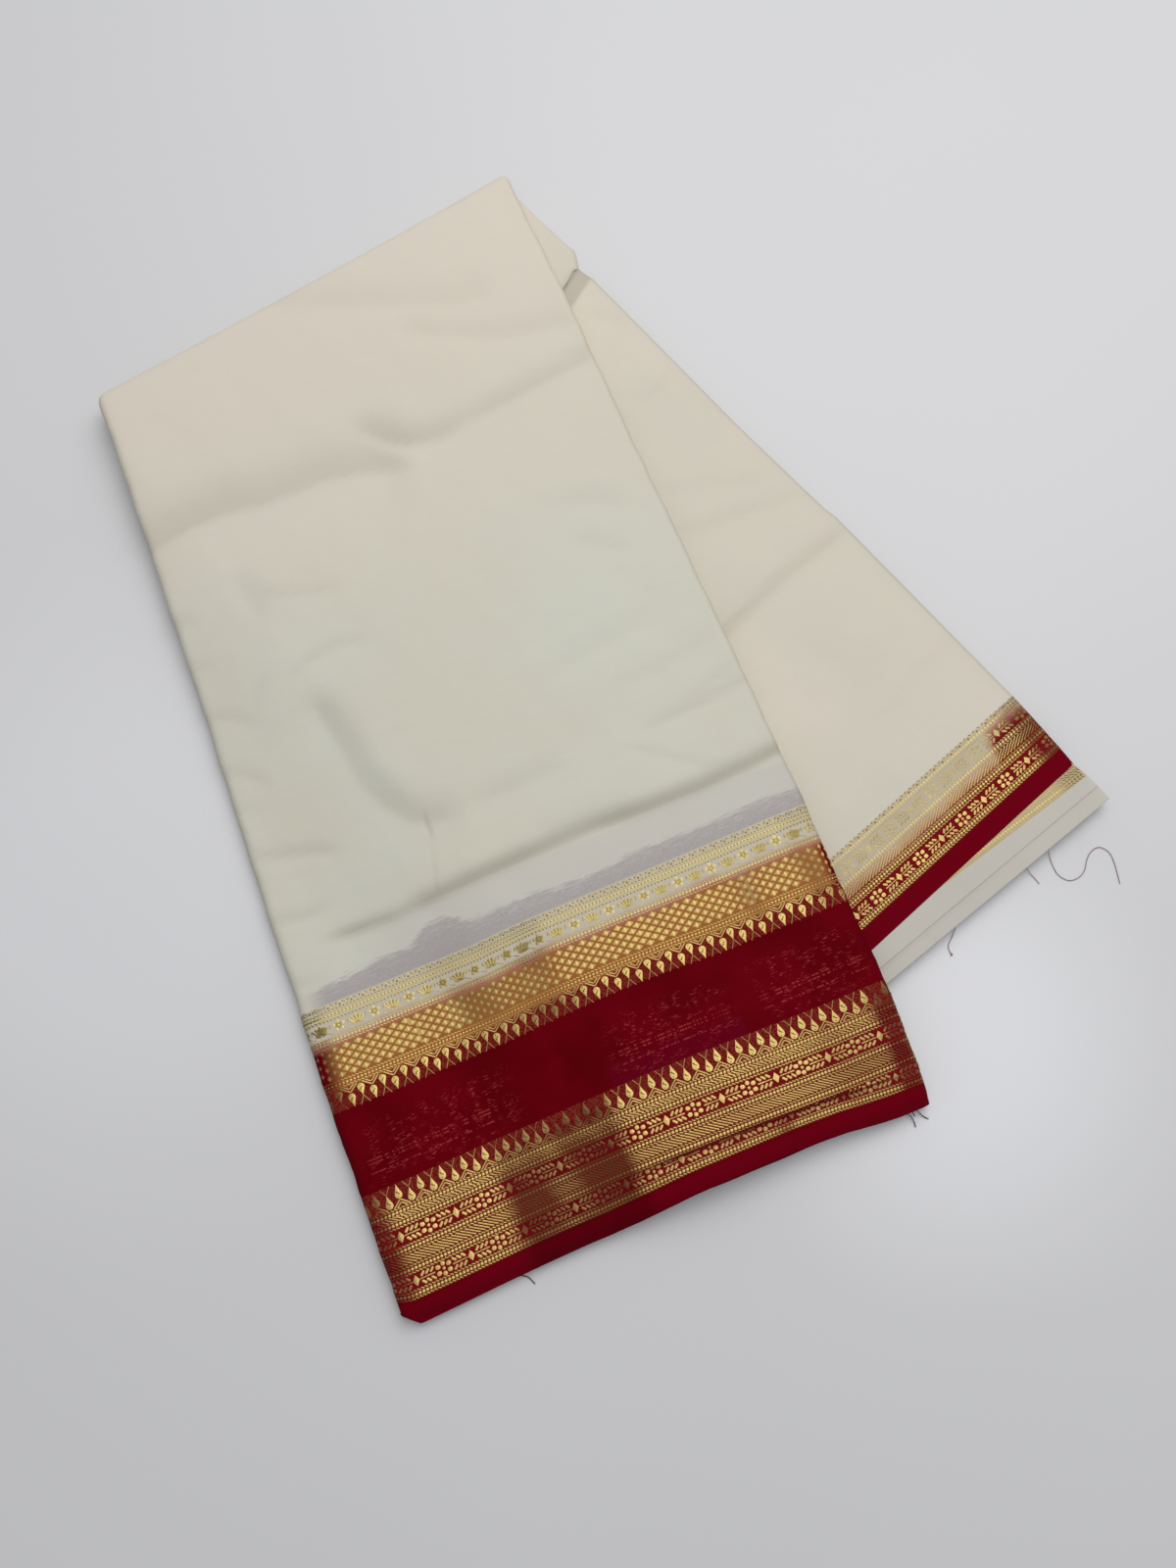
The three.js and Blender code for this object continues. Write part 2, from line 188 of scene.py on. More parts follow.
def crease_field(x, y, creases):
    """How deep the creases lie at each point, and their painted shade, which is painted highlight where
    negative.
    """
    depth, dull = np.zeros_like(x), np.zeros_like(x)
    for line, wall, rise, most, duller in creases:
        line = np.array(line, float)
        steps = np.diff(line, axis=0)
        lengths = np.hypot(steps[:, 0], steps[:, 1])
        starts = np.concatenate([[0], np.cumsum(lengths)])
        best = np.full(x.shape, 1e9)
        side = np.zeros_like(x)
        run = np.zeros_like(x)
        for k, step in enumerate(steps):
            way = step / lengths[k]
            dx, dy = x - line[k][0], y - line[k][1]
            t = np.clip(dx * way[0] + dy * way[1], 0, lengths[k])
            away = np.hypot(dx - t * way[0], dy - t * way[1])
            nearer = away < best
            best = np.where(nearer, away, best)
            side = np.where(nearer, way[0] * dy - way[1] * dx, side)
            run = np.where(nearer, starts[k] + t, run)
        share = 0.5 + 0.5 * np.clip(side / np.maximum(best, 1e-6), -1, 1)
        soft = rise + (wall - rise) * share
        edge = min(rise, 3.0)
        narrow = edge + (wall - edge) * share
        fade = min(22.0, starts[-1] / 2.5)
        ends = smooth(0, fade, run) * (1 - smooth(starts[-1] - fade, starts[-1], run))
        uneven = 1 + 0.2 * wobble(run, starts[-1], 95, 2)
        depth += most * ends * uneven * np.exp(-((best / soft) ** 2))
        dull += 0.42 * duller * ends * uneven * np.exp(-((best / narrow) ** 2))
    return depth, dull


def crease_depth(x, y, creases):
    return crease_field(x, y, creases)[0]


def bend(a, reach):
    """Cloth that runs over a face, 0 to WIDTH, and on round both sides: its place and its turn."""
    left = np.clip((SIDE - a) / SIDE_ARC, 0, None)
    right = np.clip((a - (WIDTH - SIDE)) / SIDE_ARC, 0, None)
    turn = left + right
    u = np.where(left > 0, SIDE - reach * np.sin(turn),
                 np.where(right > 0, WIDTH - SIDE + reach * np.sin(turn), a))
    return u, turn


def section(a):
    """The cross-section of cloth wrapped over the top."""
    u, turn = bend(a, SIDE)
    return u, THICK / 2 * (1 + np.cos(turn))


def under_section(a):
    """The same from below, just inside it, and flat where the cloth rests."""
    u, turn = bend(a, SIDE - 0.6)
    h = THICK / 2 - (THICK / 2 - 0.55) * np.cos(turn)
    return u, h - 0.55 * smooth(4.8, 10, np.minimum(u, WIDTH - u))


def wrap_columns(reach, side_count, top_count):
    """Cloth places across the strip, closer together where it turns over the sides."""
    side = np.linspace(SIDE - reach, SIDE, side_count)
    top = np.linspace(SIDE, WIDTH - SIDE, top_count)[1:-1]
    return np.concatenate([side, top, (WIDTH - side)[::-1]])


# ---- The strip's path


def fold_line(u):
    return LEFT_LENGTH + (RIGHT_LENGTH - LEFT_LENGTH) * u / WIDTH - TURN_REACH


def along_back(x, y):
    return (x - WIDTH) * ALONG[0] + (y - RIGHT_LENGTH) * ALONG[1]


def across_back(x, y):
    return (x - WIDTH) * ACROSS[0] + (y - RIGHT_LENGTH) * ACROSS[1]


BACK_LEFT = float(across_back(0, fold_line(0)))
BACK_RIGHT = float(across_back(WIDTH, fold_line(WIDTH)))


def ramp(low, high, value):
    """Between an even and a soft slope."""
    return 0.45 * np.clip((value - low) / (high - low), 0, 1) + 0.55 * smooth(low, high, value)


def bed(x, y):
    """The back leg under the front one, and the soft slopes down to the table beside it."""
    beside = across_back(x, y) - BACK_LEFT
    below = 511 - along_back(x, y)
    return FRONT_BED * ramp(-78, -5, beside) * ramp(-70, -4, below)


def tuck(u):
    x, taken, start = zip(*TUCK_TABLE)
    return np.interp(u - TABLE_X, x, taken), np.interp(u - TABLE_X, x, start)


def below_tuck(u, y):
    """How much cloth the tuck takes up, and how far each point lies past its lip."""
    taken, start = tuck(u)
    return taken, start - END_SHRINK + drift(u, start) - y


def tuck_painted_shade(u, y):
    """Where the tuck's thin line of painted shade falls, just below its lip."""
    taken, past = below_tuck(u, y)
    return taken * smooth(-0.9, 0.0, past) * np.exp(-np.maximum(past, 0) / 1.1)


def tuck_sink(u, y):
    """How far the cloth lies lower below the tuck; less than nothing on its lip."""
    taken, past = below_tuck(u, y)
    inside = smooth(0, 0.7, past)
    return taken * (0.3 * inside * np.exp(-((np.maximum(past, 0) / 5) ** 2))
                    - 0.1 * np.exp(-(((past + 1.2) / 2.0) ** 2)))


def front_lift(x, y):
    """Height of the front leg's top over its even form."""
    sunk = crease_depth(x - TABLE_X, y - TABLE_Y, FRONT_CREASES) + tuck_sink(x, y)
    swell = 0.22 * wobble(x + 0.4 * y, 3, 130) + 0.18 * wobble(y - 0.3 * x, 5, 170)
    return swell - sunk


def drift(u, s):
    levels = [row[0] for row in DRIFT]
    return sum(np.interp(u - TABLE_X, DRIFT_X, row) * np.interp(s, levels, np.eye(len(levels))[k])
               for k, (_, row) in enumerate(DRIFT))


def front_y(u, s):
    """From length along the cloth to the way along the leg, with its drop and its tuck."""
    taken, start = tuck(u)
    y = s - END_SHRINK * (1 - np.exp(-s / 4)) + END_SHRINK * smooth(200, 400, s)
    inside = 1 - smooth(start - taken - 0.7, start, s)
    return y + taken * inside + corner_cut(u, s) + drift(u, s)


def corner_cut(u, y):
    """How far the free end stands in at its left corner."""
    return np.maximum(7.6 - u, 0) * np.exp(-y / 9)


def end_drop(y):
    """Share of the height that is lost where the free end falls toward the table."""
    return 0.5 * np.clip(1 - np.maximum(y, 0) / 9, 0, 1) ** 2


def front_surface(a, s):
    """The front leg's visible face, and on from its length round the fold."""
    u, h = section(a)
    fold = fold_line(u)
    y = front_y(u, np.minimum(s, fold))
    turn = np.clip((s - fold) / TURN_ARC, 0, 1) * math.pi
    reach = GAP / 2 + h
    top = front_lift(u, y) * h / THICK * (1 - smooth(fold - 30, fold, y))
    x, y_seen = front_xy(u, y)
    z = np.where(s > fold, AXIS_HEIGHT + reach * np.cos(turn), bed(u, y) + (h + top) * (1 - end_drop(y)))
    out = y_seen + TURN_REACH / AXIS_HEIGHT * reach * np.sin(turn) * (s > fold)
    return np.stack([x, out, z], -1)


def front_xy(u, y):
    """Where the strip's sides and ends truly lie."""
    share = u / WIDTH
    fine = 0.45 * wobble(y, 11, 150) + 0.25 * wobble(y, 12, 31)
    x = (u + (along_line(LEFT_SIDE, y) + fine) * (1 - share) ** 5
         + (along_line(RIGHT_SIDE, y) + fine) * share**5)
    stretch = (FOLD_OUT[0] + (FOLD_OUT[1] - FOLD_OUT[0]) * share**2) * smooth(380, 560, y)
    end = 2.6 * np.exp(-u / 50) + 2.2 * np.exp(-(((u - 262) / 26) ** 2))
    return x, y + stretch - end * np.exp(-np.maximum(y, 0) / 14)


def back_lift(t, along):
    sunk = crease_depth(t, along, BACK_CREASES)
    return 0.15 * wobble(along + 0.6 * t, 21, 150) - sunk


def back_xy(u, along):
    run = along - along_back(u, fold_line(u)) - BACK_DRAWN * (1 - smooth(120, 430, along))
    shift = (-along_line(BACK_EDGE, along) - BACK_RIGHT) * (u / WIDTH) ** 8
    x = u + ALONG[0] * run + ACROSS[0] * shift
    y = fold_line(u) + ALONG[1] * run + ACROSS[1] * shift
    return x, y


def back_surface(a, along, drop=0.0):
    """The back leg's visible face. Drop lowers it in the run toward the selvedge."""
    u, h = section(a)
    x, y = back_xy(u, along)
    share = h / THICK
    lift = back_lift(u - WIDTH, along) * share * smooth(0, 30, BACK_END - along)
    end = np.clip(1 - (BACK_END - along) / 14, 0, 1) ** 2
    return np.stack([x, y, h * (1 - 0.1 * end) + lift - drop * share], -1)


def normals(place, a, s, step=0.05):
    across = place(a + step, s) - place(a - step, s)
    along = place(a, s + step) - place(a, s - step)
    n = np.cross(across, along)
    return n / np.maximum(np.linalg.norm(n, axis=-1, keepdims=True), 1e-9)


# ---- Meshes


def even_bake(uv):
    """The cloth map, scaled to fit the square from 0 to 1."""
    low, high = uv.min(0), uv.max(0)
    return (uv - low) / float((high - low).max()) * 0.98 + 0.01


def place_mesh(name, points, faces, material, slot, replaced, cloth_uv, bake_uv=None,
               shade_smooth=True, **levels):
    """points N x 3 in millimetres; faces a list of index arrays; levels one value a point each."""
    mesh = bpy.data.meshes.new(name)
    world = (np.asarray(points, float).reshape(-1, 3) - ORIGIN) * METRE
    loops = np.concatenate([f.reshape(-1) for f in faces])
    sizes = np.concatenate([np.full(len(f), f.shape[1]) for f in faces])
    mesh.vertices.add(len(world))
    mesh.vertices.foreach_set("co", world.astype(np.float32).reshape(-1))
    mesh.loops.add(len(loops))
    mesh.loops.foreach_set("vertex_index", loops.astype(np.int32))
    mesh.polygons.add(len(sizes))
    starts = np.concatenate([[0], np.cumsum(sizes)[:-1]])
    mesh.polygons.foreach_set("loop_start", starts.astype(np.int32))
    mesh.polygons.foreach_set("use_smooth", np.full(len(sizes), shade_smooth))
    bake_uv = even_bake(cloth_uv) if bake_uv is None else bake_uv
    for title, values in (("OFBake", bake_uv), ("cloth", cloth_uv)):
        layer = mesh.uv_layers.new(name=title)
        layer.data.foreach_set("uv", values[loops].astype(np.float32).reshape(-1))
    for title, value in levels.items():
        layer = mesh.attributes.new(title, "FLOAT", "POINT")
        layer.data.foreach_set("value", value.astype(np.float32))
    mesh.update(calc_edges=True)
    mesh.validate()
    piece = bpy.data.objects.new(name, mesh)
    bpy.context.scene.collection.objects.link(piece)
    mesh.materials.append(material)
    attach(piece, "root")
    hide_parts(*replaced)
    return piece


def grid_faces(rows, columns, base=0, flip=False, ring=False):
    """The faces between rows of points; a ring's last column joins its first."""
    index = base + np.arange(rows * columns).reshape(rows, columns)
    if ring:
        index = np.concatenate([index, index[:, :1]], 1)
    a, b = index[:-1, :-1].ravel(), index[:-1, 1:].ravel()
    c, d = index[1:, 1:].ravel(), index[1:, :-1].ravel()
    return np.stack([a, d, c, b] if flip else [a, b, c, d], -1)


def shell_arrays(a, s, place):
    """A closed thin sheet through a grid of cloth places. Returns points, faces and cloth UV."""
    outer = place(a, s)
    inner = outer - normals(place, a, s) * CLOTH
    rows, columns = a.shape
    count = rows * columns
    faces = [grid_faces(rows, columns), grid_faces(rows, columns, count, True)]
    index = np.arange(count).reshape(rows, columns)
    rim = np.concatenate([index[0], index[1:, -1], index[-1, :-1][::-1], index[1:-1, 0][::-1]])
    after = np.roll(rim, -1)
    faces.append(np.stack([rim, rim + count, after + count, after], -1))
    points = np.concatenate([outer.reshape(-1, 3), inner.reshape(-1, 3)])
    uv = np.stack([a.ravel(), s.ravel()], -1)
    return points, faces, np.concatenate([uv, uv])


def bake_halves(uv):
    """Places the outer face's map left and the inner face's map right, without overlap."""
    low, high = uv.min(0), uv.max(0)
    size = float(max((high - low)[0] * 2.1, (high - low)[1]))
    out = (uv - low) / size
    half = len(uv) // 2
    out[half:, 0] += (high - low)[0] * 1.05 / size
    return out * 0.98 + 0.01


def sheet_piece(name, a, s, place, material, slot, replaced, dull=None):
    points, faces, uv = shell_arrays(a, s, place)
    # The outer face takes the painted shade and painted highlight; the inner face none.
    level = np.zeros(a.size) if dull is None else np.clip(dull(a, s), -1, 1.3).ravel()
    return place_mesh(name, points, faces, material, slot, replaced, uv, bake_halves(uv),
                      dull=np.concatenate([level, np.zeros(a.size)]))


# ---- Materials

# One repeat of the weave's threads.
WEAVE_PITCH = 0.42


class Wire:
    """A node's output, which +, - and * take into a math node."""

    def __init__(self, graph, socket):
        self.graph, self.socket = graph, socket

    def __add__(self, other):
        return self.graph.math("ADD", self, other)

    def __sub__(self, other):
        return self.graph.math("SUBTRACT", self, other)

    def __rsub__(self, other):
        return self.graph.math("SUBTRACT", other, self)

    def __mul__(self, other):
        return self.graph.math("MULTIPLY", self, other)


class Graph:
    """One material, with short ways to add nodes to it. x and y are lengths on the cloth in mm."""

    def __init__(self, name, roughness, table=False, **settings):
        self.material = bpy.data.materials.new(name)
        self.material.use_nodes = True
        self.tree = self.material.node_tree
        self.shader = self.tree.nodes["Principled BSDF"]
        for title, value in {"Roughness": roughness, **settings}.items():
            self.shader.inputs[title.replace("_", " ")].default_value = value
        if table:
            self.map = self.add("ShaderNodeTexCoord", output="Object")
        else:
            self.map = self.add("ShaderNodeUVMap", uv_map="cloth")
            self.x = self.add("ShaderNodeSeparateXYZ", {0: self.map})
            self.y = Wire(self, self.x.socket.node.outputs[1])

    def add(self, kind, inputs=None, output=0, **settings):
        """Adds a node, sets or links its inputs and returns one of its outputs."""
        node = self.tree.nodes.new(kind)
        for title, value in settings.items():
            setattr(node, title, value)
        for key, value in (inputs or {}).items():
            if isinstance(value, Wire):
                self.tree.links.new(value.socket, node.inputs[key])
            else:
                node.inputs[key].default_value = value
        return Wire(self, node.outputs[output])

    def math(self, operation, first, second=0.0, clamp=False):
        return self.add("ShaderNodeMath", {0: first, 1: second}, operation=operation, use_clamp=clamp)

    def most(self, first, second):
        return self.math("MAXIMUM", first, second)

    def noise(self, scale, detail=2.0, stretch=(1, 1, 1)):
        place = self.add("ShaderNodeMapping", {"Vector": self.map, "Scale": stretch})
        return self.add("ShaderNodeTexNoise", {"Vector": place, "Scale": scale, "Detail": detail}, "Fac")

    def ramp(self, value, low, high):
        ends = {"Value": value, "From Min": low, "From Max": high}
        return self.add("ShaderNodeMapRange", ends, "Result", clamp=True, interpolation_type="SMOOTHSTEP")

    def band(self, value, low, high, soft):
        return self.ramp(value, low - soft, low + soft) * self.ramp(value, high + soft, high - soft)

    def rows(self, value, table, soft):
        total = self.band(value, *table[0], soft)
        for low, high in table[1:]:
            total = self.most(total, self.band(value, low, high, soft))
        return total

    def mix(self, share, first, second, mode="MIX"):
        colours = {0: share, 6: first, 7: second}
        return self.add("ShaderNodeMix", colours, 2, data_type="RGBA", blend_type=mode)

    def patches(self, scale, first, second):
        return self.mix(self.ramp(self.noise(scale, 3), 0.3, 0.7), first, second)

    def attribute(self, title):
        return self.add("ShaderNodeAttribute", output="Fac", attribute_name=title)

    def bump(self, height, distance, strength, under=None):
        inputs = {"Strength": strength, "Distance": distance, "Height": height}
        return self.add("ShaderNodeBump", {**inputs, "Normal": under} if under else inputs)

    def weave(self, distance=0.00004, strength=0.4, under=None):
        k = 2 * math.pi / WEAVE_PITCH
        threads = self.math("SINE", self.x * k) * self.math("SINE", self.y * k)
        return self.bump(threads, distance, strength, under)

    def finish(self, colour, normal=None):
        for title, value in (("Base Color", colour), ("Normal", normal)):
            if value:
                self.tree.links.new(value.socket, self.shader.inputs[title])
        return self.material

    def finish_cloth(self, colour):
        """Painted shade and painted highlight set by a point attribute, with a fine weave over slow
        unevenness.
        """
        dull = self.attribute("dull")
        colour = self.mix(self.most(dull, 0.0), colour, PAINTED_SHADE, "MULTIPLY")
        colour = self.mix(self.math("MULTIPLY", dull, -0.5, clamp=True), colour, PAINTED_HIGHLIGHT)
        base = self.bump(self.noise(0.035, 3), 0.0013, 0.5)
        base = self.bump(self.noise(0.11, 4, (0.45, 1.3, 1)), 0.0005, 0.5, base)
        base = self.bump(self.noise(1.3, 2, (1, 0.5, 1)), 0.00003, 0.5, base)
        return self.finish(colour, self.weave(0.00003, 0.35, base))


IVORY = (0.69, 0.66, 0.555, 1)
IVORY_WARM = (0.745, 0.685, 0.58, 1)
IVORY_COOL = (0.682, 0.68, 0.585, 1)
LAVENDER = (0.44, 0.408, 0.388, 1)
SILVER = (0.60, 0.575, 0.525, 1)
CRIMSON = (0.15, 0.0002, 0.0048, 1)
CRIMSON_DEEP = (0.12, 0.0001, 0.0034, 1)
VINE_GROUND = (0.19, 0.006, 0.009, 1)
CRIMSON_EDGE = (0.165, 0.0002, 0.0075, 1)
PURPLE = (0.135, 0.0004, 0.0085, 1)
RUST = (0.135, 0.002, 0.005, 1)
RUST_LINES = (0.28, 0.045, 0.024, 1)
PINK = (0.45, 0.19, 0.14, 1)
GHOST = (0.42, 0.045, 0.045, 1)
GOLD_GROUND = (0.17, 0.026, 0.011, 1)
LATTICE_GROUND = (0.37, 0.135, 0.036, 1)
PALE_GOLD_GROUND = (0.61, 0.55, 0.44, 1)
OLIVE_GROUND = (0.61, 0.54, 0.37, 1)
SLIVER_GROUND = (0.56, 0.44, 0.27, 1)
BACK_GOLD_GROUND = (0.575, 0.50, 0.37, 1)
# Painted shade multiplies the cloth's colour toward this.
PAINTED_SHADE = (0.66, 0.645, 0.62, 1)
FLECK = (0.5, 0.47, 0.4, 1)
SCRATCH = (0.68, 0.66, 0.64, 1)
MOTTLE = (0.64, 0.61, 0.6, 1)
# Painted highlight mixes the cloth's colour toward this.
PAINTED_HIGHLIGHT = (1, 1, 1, 1)

# Where the weave is mostly gold, and where crimson shows between the motifs.
GOLD_ROWS = [(11.9, 16.4), (23.0, 37.3), (45.2, 55.1)]
RUST_ROWS = [(54.6, 66.0), (109.0, 121.0)]
VINE_ROWS = [(16.2, 23.2), (37.0, 45.4)]

# Where hidden gold shows through the crimson, and how the edge of the lavender stretch above the
# border dips: from x, to x, softness, how much lower.
DASH_ROWS = [(74.3, 75.0), (78.9, 79.6), (80.7, 81.4)]
LAVENDER_DIPS = [(70, 92, 8, 8.0), (140, 178, 14, -2.5), (216, 300, 12, -1.0), (-20, 34, 14, -2.5)]

# How fast the sliver of border under the back leg shows more of itself to the right.
SLIVER_SLANT = 0.042


def ivory_material(name, first, second, border=None):
    cloth = Graph(name, 0.7, Specular_IOR_Level=0.1)
    colour = cloth.patches(0.012, first, second)
    colour = cloth.mix(cloth.noise(2.2, 2, (0.4, 1.4, 1)) * 0.05, colour, FLECK)
    if border:
        along = cloth.y - (WIDTH - cloth.x) * SLIVER_SLANT
        colour = cloth.mix(cloth.band(along, *border, 0.5), colour, SLIVER_GROUND)
    return cloth.finish_cloth(colour)


def front_body(cloth):
    """Ivory, with the layers below showing through above the border."""
    x, y = cloth.x, cloth.y
    body = cloth.patches(0.011, IVORY_COOL, IVORY)
    # Warmer and lighter toward the fold: painted light.
    body = cloth.mix(cloth.ramp(y, 300.0, 560.0), body, IVORY_WARM)
    line = y + (cloth.noise(0.035, 4, (0.8, 3, 1)) - 0.5) * 5
    line = line + (cloth.noise(0.55, 3, (0.22, 1.5, 1)) - 0.5) * 9.0
    for low, high, soft, lower in LAVENDER_DIPS:
        line = line - cloth.band(x, low, high, soft) * lower
    silver = cloth.band(y, 165.0, 191.0, 2.5) * cloth.ramp(x, 30.0, 90.0)
    body = cloth.mix(silver * 0.7, body, SILVER)
    body = cloth.mix(cloth.ramp(x, 2.0, 17.0) * cloth.ramp(line, 176.2, 172.2), body, LAVENDER)
    scratch = cloth.ramp(cloth.noise(1.0, 3, (0.12, 2.6, 1)), 0.5, 0.62) * cloth.band(line, 168, 177, 2)
    body = cloth.mix(scratch * 0.4, body, SCRATCH)
    mottle = cloth.ramp(cloth.noise(0.7, 4), 0.42, 0.62) * cloth.band(line, 160, 192, 3)
    body = cloth.mix(mottle * 0.16, body, MOTTLE)
    body = cloth.mix(cloth.band(y, 120.0, 162.6, 0.4), body, PALE_GOLD_GROUND)
    return cloth.mix(cloth.rows(y, [(142.0, 146.0), (153.7, 159.4)], 0.3), body, OLIVE_GROUND)


def front_crimson(cloth):
    """Crimson with show-through, and the grounds of its woven rows."""
    x, y = cloth.x, cloth.y
    red = cloth.mix(cloth.ramp(cloth.noise(0.03, 2), 0.35, 0.65), CRIMSON_DEEP, CRIMSON)
    red = cloth.mix(cloth.ramp(y, 13.0, 9.0), red, CRIMSON_EDGE)
    purple = cloth.band(x, 136.0, 208.0, 0.8) * cloth.band(y, 66.0, 77.0, 0.6)
    red = cloth.mix(purple, red, PURPLE)
    streaks = cloth.ramp(cloth.noise(1.0, 1, (0.33, 2.1, 1)), 0.57, 0.66)
    streaks = streaks * cloth.ramp(cloth.noise(0.17, 2), 0.47, 0.57)
    dashes = cloth.ramp(cloth.noise(1.0, 1, (0.9, 0.02, 1)), 0.5, 0.57) * cloth.rows(y, DASH_ROWS, 0.2)
    places = cloth.most(cloth.band(x, 10.0, 86.0, 8), cloth.rows(x, [(142.0, 203.0), (222.0, 273.0)], 7))
    ghost = cloth.most(streaks, dashes) * (places * cloth.band(y, 68, 98, 3))
    red = cloth.mix(ghost * 0.75, red, GHOST)
    rust = cloth.mix(cloth.ramp(cloth.noise(1.3, 2, (0.5, 2.6, 1)), 0.47, 0.6), RUST, RUST_LINES)
    red = cloth.mix(cloth.rows(y, RUST_ROWS, 0.25), red, rust)
    red = cloth.mix(cloth.rows(y, VINE_ROWS, 0.25), red, VINE_GROUND)
    red = cloth.mix(cloth.rows(y, GOLD_ROWS, 0.3) * cloth.band(x, 8.0, 264.0, 5), red, GOLD_GROUND)
    sides = cloth.ramp(x, 3.0, 13.0) * cloth.ramp(x, 280.0, 274.0)
    return cloth.mix(cloth.band(y, 119.0, 152.0, 0.4) * sides, red, LATTICE_GROUND)


def dyed(cloth, red, body, reach, pink, clear):
    """Crimson up to an uneven line, then a pink blur, then ivory."""
    colour = cloth.mix(cloth.ramp(reach, *pink), red, PINK)
    return cloth.finish_cloth(cloth.mix(cloth.ramp(reach, *clear), colour, body))


def front_material():
    """Ivory over the leg; from there to the selvedge show-through, dye blur and crimson."""
    cloth = Graph("front_ground", 0.7, Specular_IOR_Level=0.02)
    reach = cloth.y + (cloth.noise(0.035, 2, (1, 0.2, 1)) * 9.0 + cloth.noise(0.35, 3) * 2.4)
    return dyed(cloth, front_crimson(cloth), front_body(cloth), reach, (144.5, 148.5), (147.0, 153.5))


def back_material():
    """Ivory over the back leg, then the narrow border's dye, which rises at the right."""
    cloth = Graph("back_ground", 0.7, Specular_IOR_Level=0.02)
    y = cloth.y
    body = cloth.patches(0.012, IVORY, IVORY_WARM)
    body = cloth.mix(cloth.band(y, 20.0, 49.6, 0.5), body, BACK_GOLD_GROUND)
    red = cloth.mix(cloth.rows(y, [(14.8, 22.4), (36.2, 45.0)], 0.3), CRIMSON_EDGE, VINE_GROUND)
    red = cloth.mix(cloth.rows(y, [(11.0, 14.8), (22.4, 36.4)], 0.3), red, GOLD_GROUND)
    reach = y + (cloth.noise(0.05, 2) * 8.0 + cloth.noise(0.4, 3) * 2.5)
    reach = reach - cloth.band(cloth.x, 253.0, 282.0, 5) * 13.0
    return dyed(cloth, red, body, reach, (29.5, 37.0), (33.0, 43.0))


def crimson_material():
    cloth = Graph("crimson_layers", 0.7, Specular_IOR_Level=0.02)
    return cloth.finish(cloth.patches(0.2, CRIMSON_DEEP, CRIMSON), cloth.weave())


def zari_material(name, bright, dark):
    """Gold thread: floats that glint, with their tone set by the attribute named tone."""
    zari = Graph(name, 0.42, Metallic=0.5, Specular_IOR_Level=0.3)
    uneven = (zari.noise(2.6, 3, (1.0, 2.2, 1)) - 0.5) * 0.9
    # On the wide border the tone attribute also carries painted shade and painted light.
    share = zari.math("ADD", zari.attribute("tone"), uneven, clamp=True)
    floats = zari.math("SINE", (zari.y + zari.x * 0.3) * (2 * math.pi / 0.33))
    return zari.finish(zari.mix(share, dark, bright), zari.bump(floats, 0.00005, 0.5))


def thread_material(name, dark, light):
    thread = Graph(name, 0.8, Specular_IOR_Level=0.2)
    return thread.finish(thread.mix(thread.noise(0.6, 2), dark, light))


LAYER_IVORY = (0.60, 0.575, 0.51, 1), (0.63, 0.60, 0.54, 1)
ivory = ivory_material("ivory_layers", *LAYER_IVORY)
sliver_ground = ivory_material("ivory_sliver", *LAYER_IVORY, (7.9, 27.0))
ivory_warm = ivory_material("ivory_turn", IVORY, IVORY_WARM)
front_ground = front_material()
back_ground = back_material()
crimson_layers = crimson_material()
gold = zari_material("zari_on_crimson", (0.97, 0.72, 0.24, 1), (0.135, 0.028, 0.009, 1))
pale_gold = zari_material("zari_on_ivory", (0.88, 0.72, 0.31, 1), (0.20, 0.14, 0.035, 1))

# ---- Front leg


def front_rows():
    run = np.concatenate([
        np.array([0, 0.5, 1.2, 2.2, 3.4, 4.8, 6.4, 8.2, 10, 12, 14]),
        np.arange(15, 24.6, 0.6), np.arange(26, 236, 2.4), np.arange(236, 531, 3.4)])
    return np.append(run, fold_line(0))


def front_grid(columns, run, turn_steps=14):
    a, base = np.meshgrid(columns, run)
    u, _ = section(a)
    fold = fold_line(u)
    s = base + (fold - fold_line(0)) * smooth(220, fold_line(0), base)
    turn = np.linspace(0, TURN_ARC, turn_steps + 1)[1:]
    extra = fold[-1][None, :] + turn[:, None]
    return np.concatenate([a, np.repeat(a[-1:], turn_steps, 0)]), np.concatenate([s, extra])


def front_dull(a, s):
    """Painted shade at the tuck, in the creases and over the border's middle; painted highlight on
    ridges.
    """
    u, h = section(a)
    y = front_y(u, s)
    x = u - TABLE_X
    # A wide band of painted shade over the border's middle.
    shade = smooth(-64, -50, x) * (1 - smooth(4, 14, x)) * (1 - smooth(54, 64, s))
    shade = shade * (0.87 - 0.25 * smooth(20, 27, s))
    dull = 0.9 * tuck_painted_shade(u, y) + shade + crease_field(x, y - TABLE_Y, FRONT_CREASES)[1]
    return dull * (h / THICK) ** 2 + side_dull(a)


def side_dull(a):
    """Painted shade where the cloth turns over the strip's sides."""
    edge = np.minimum(a, WIDTH - a)
    return 0.5 * np.exp(-np.maximum(edge, 0) / 2.2)


columns = wrap_columns(WRAP * SIDE_ARC, 12, 119)
a_grid, s_grid = front_grid(columns, front_rows())
front_cloth = sheet_piece("front_cloth", a_grid, s_grid, front_surface, front_ground,
                          "saree_cloth", ["front_fall"], front_dull)


def away_from_sides(u):
    return smooth(4, 30, np.minimum(u, WIDTH - u))


def front_under(a, s):
    """The front leg's lower face; a runs from its right side to its left, so it faces down."""
    u, h = under_section(WIDTH - a)
    y = front_y(u, s)
    rib = 0.3 * crease_depth(u - 118, y - 61, FRONT_CREASES[:9]) * away_from_sides(u)
    x, y_seen = front_xy(u, y + 5)
    return np.stack([x, y_seen, bed(u, y + 5) + h + rib], -1)


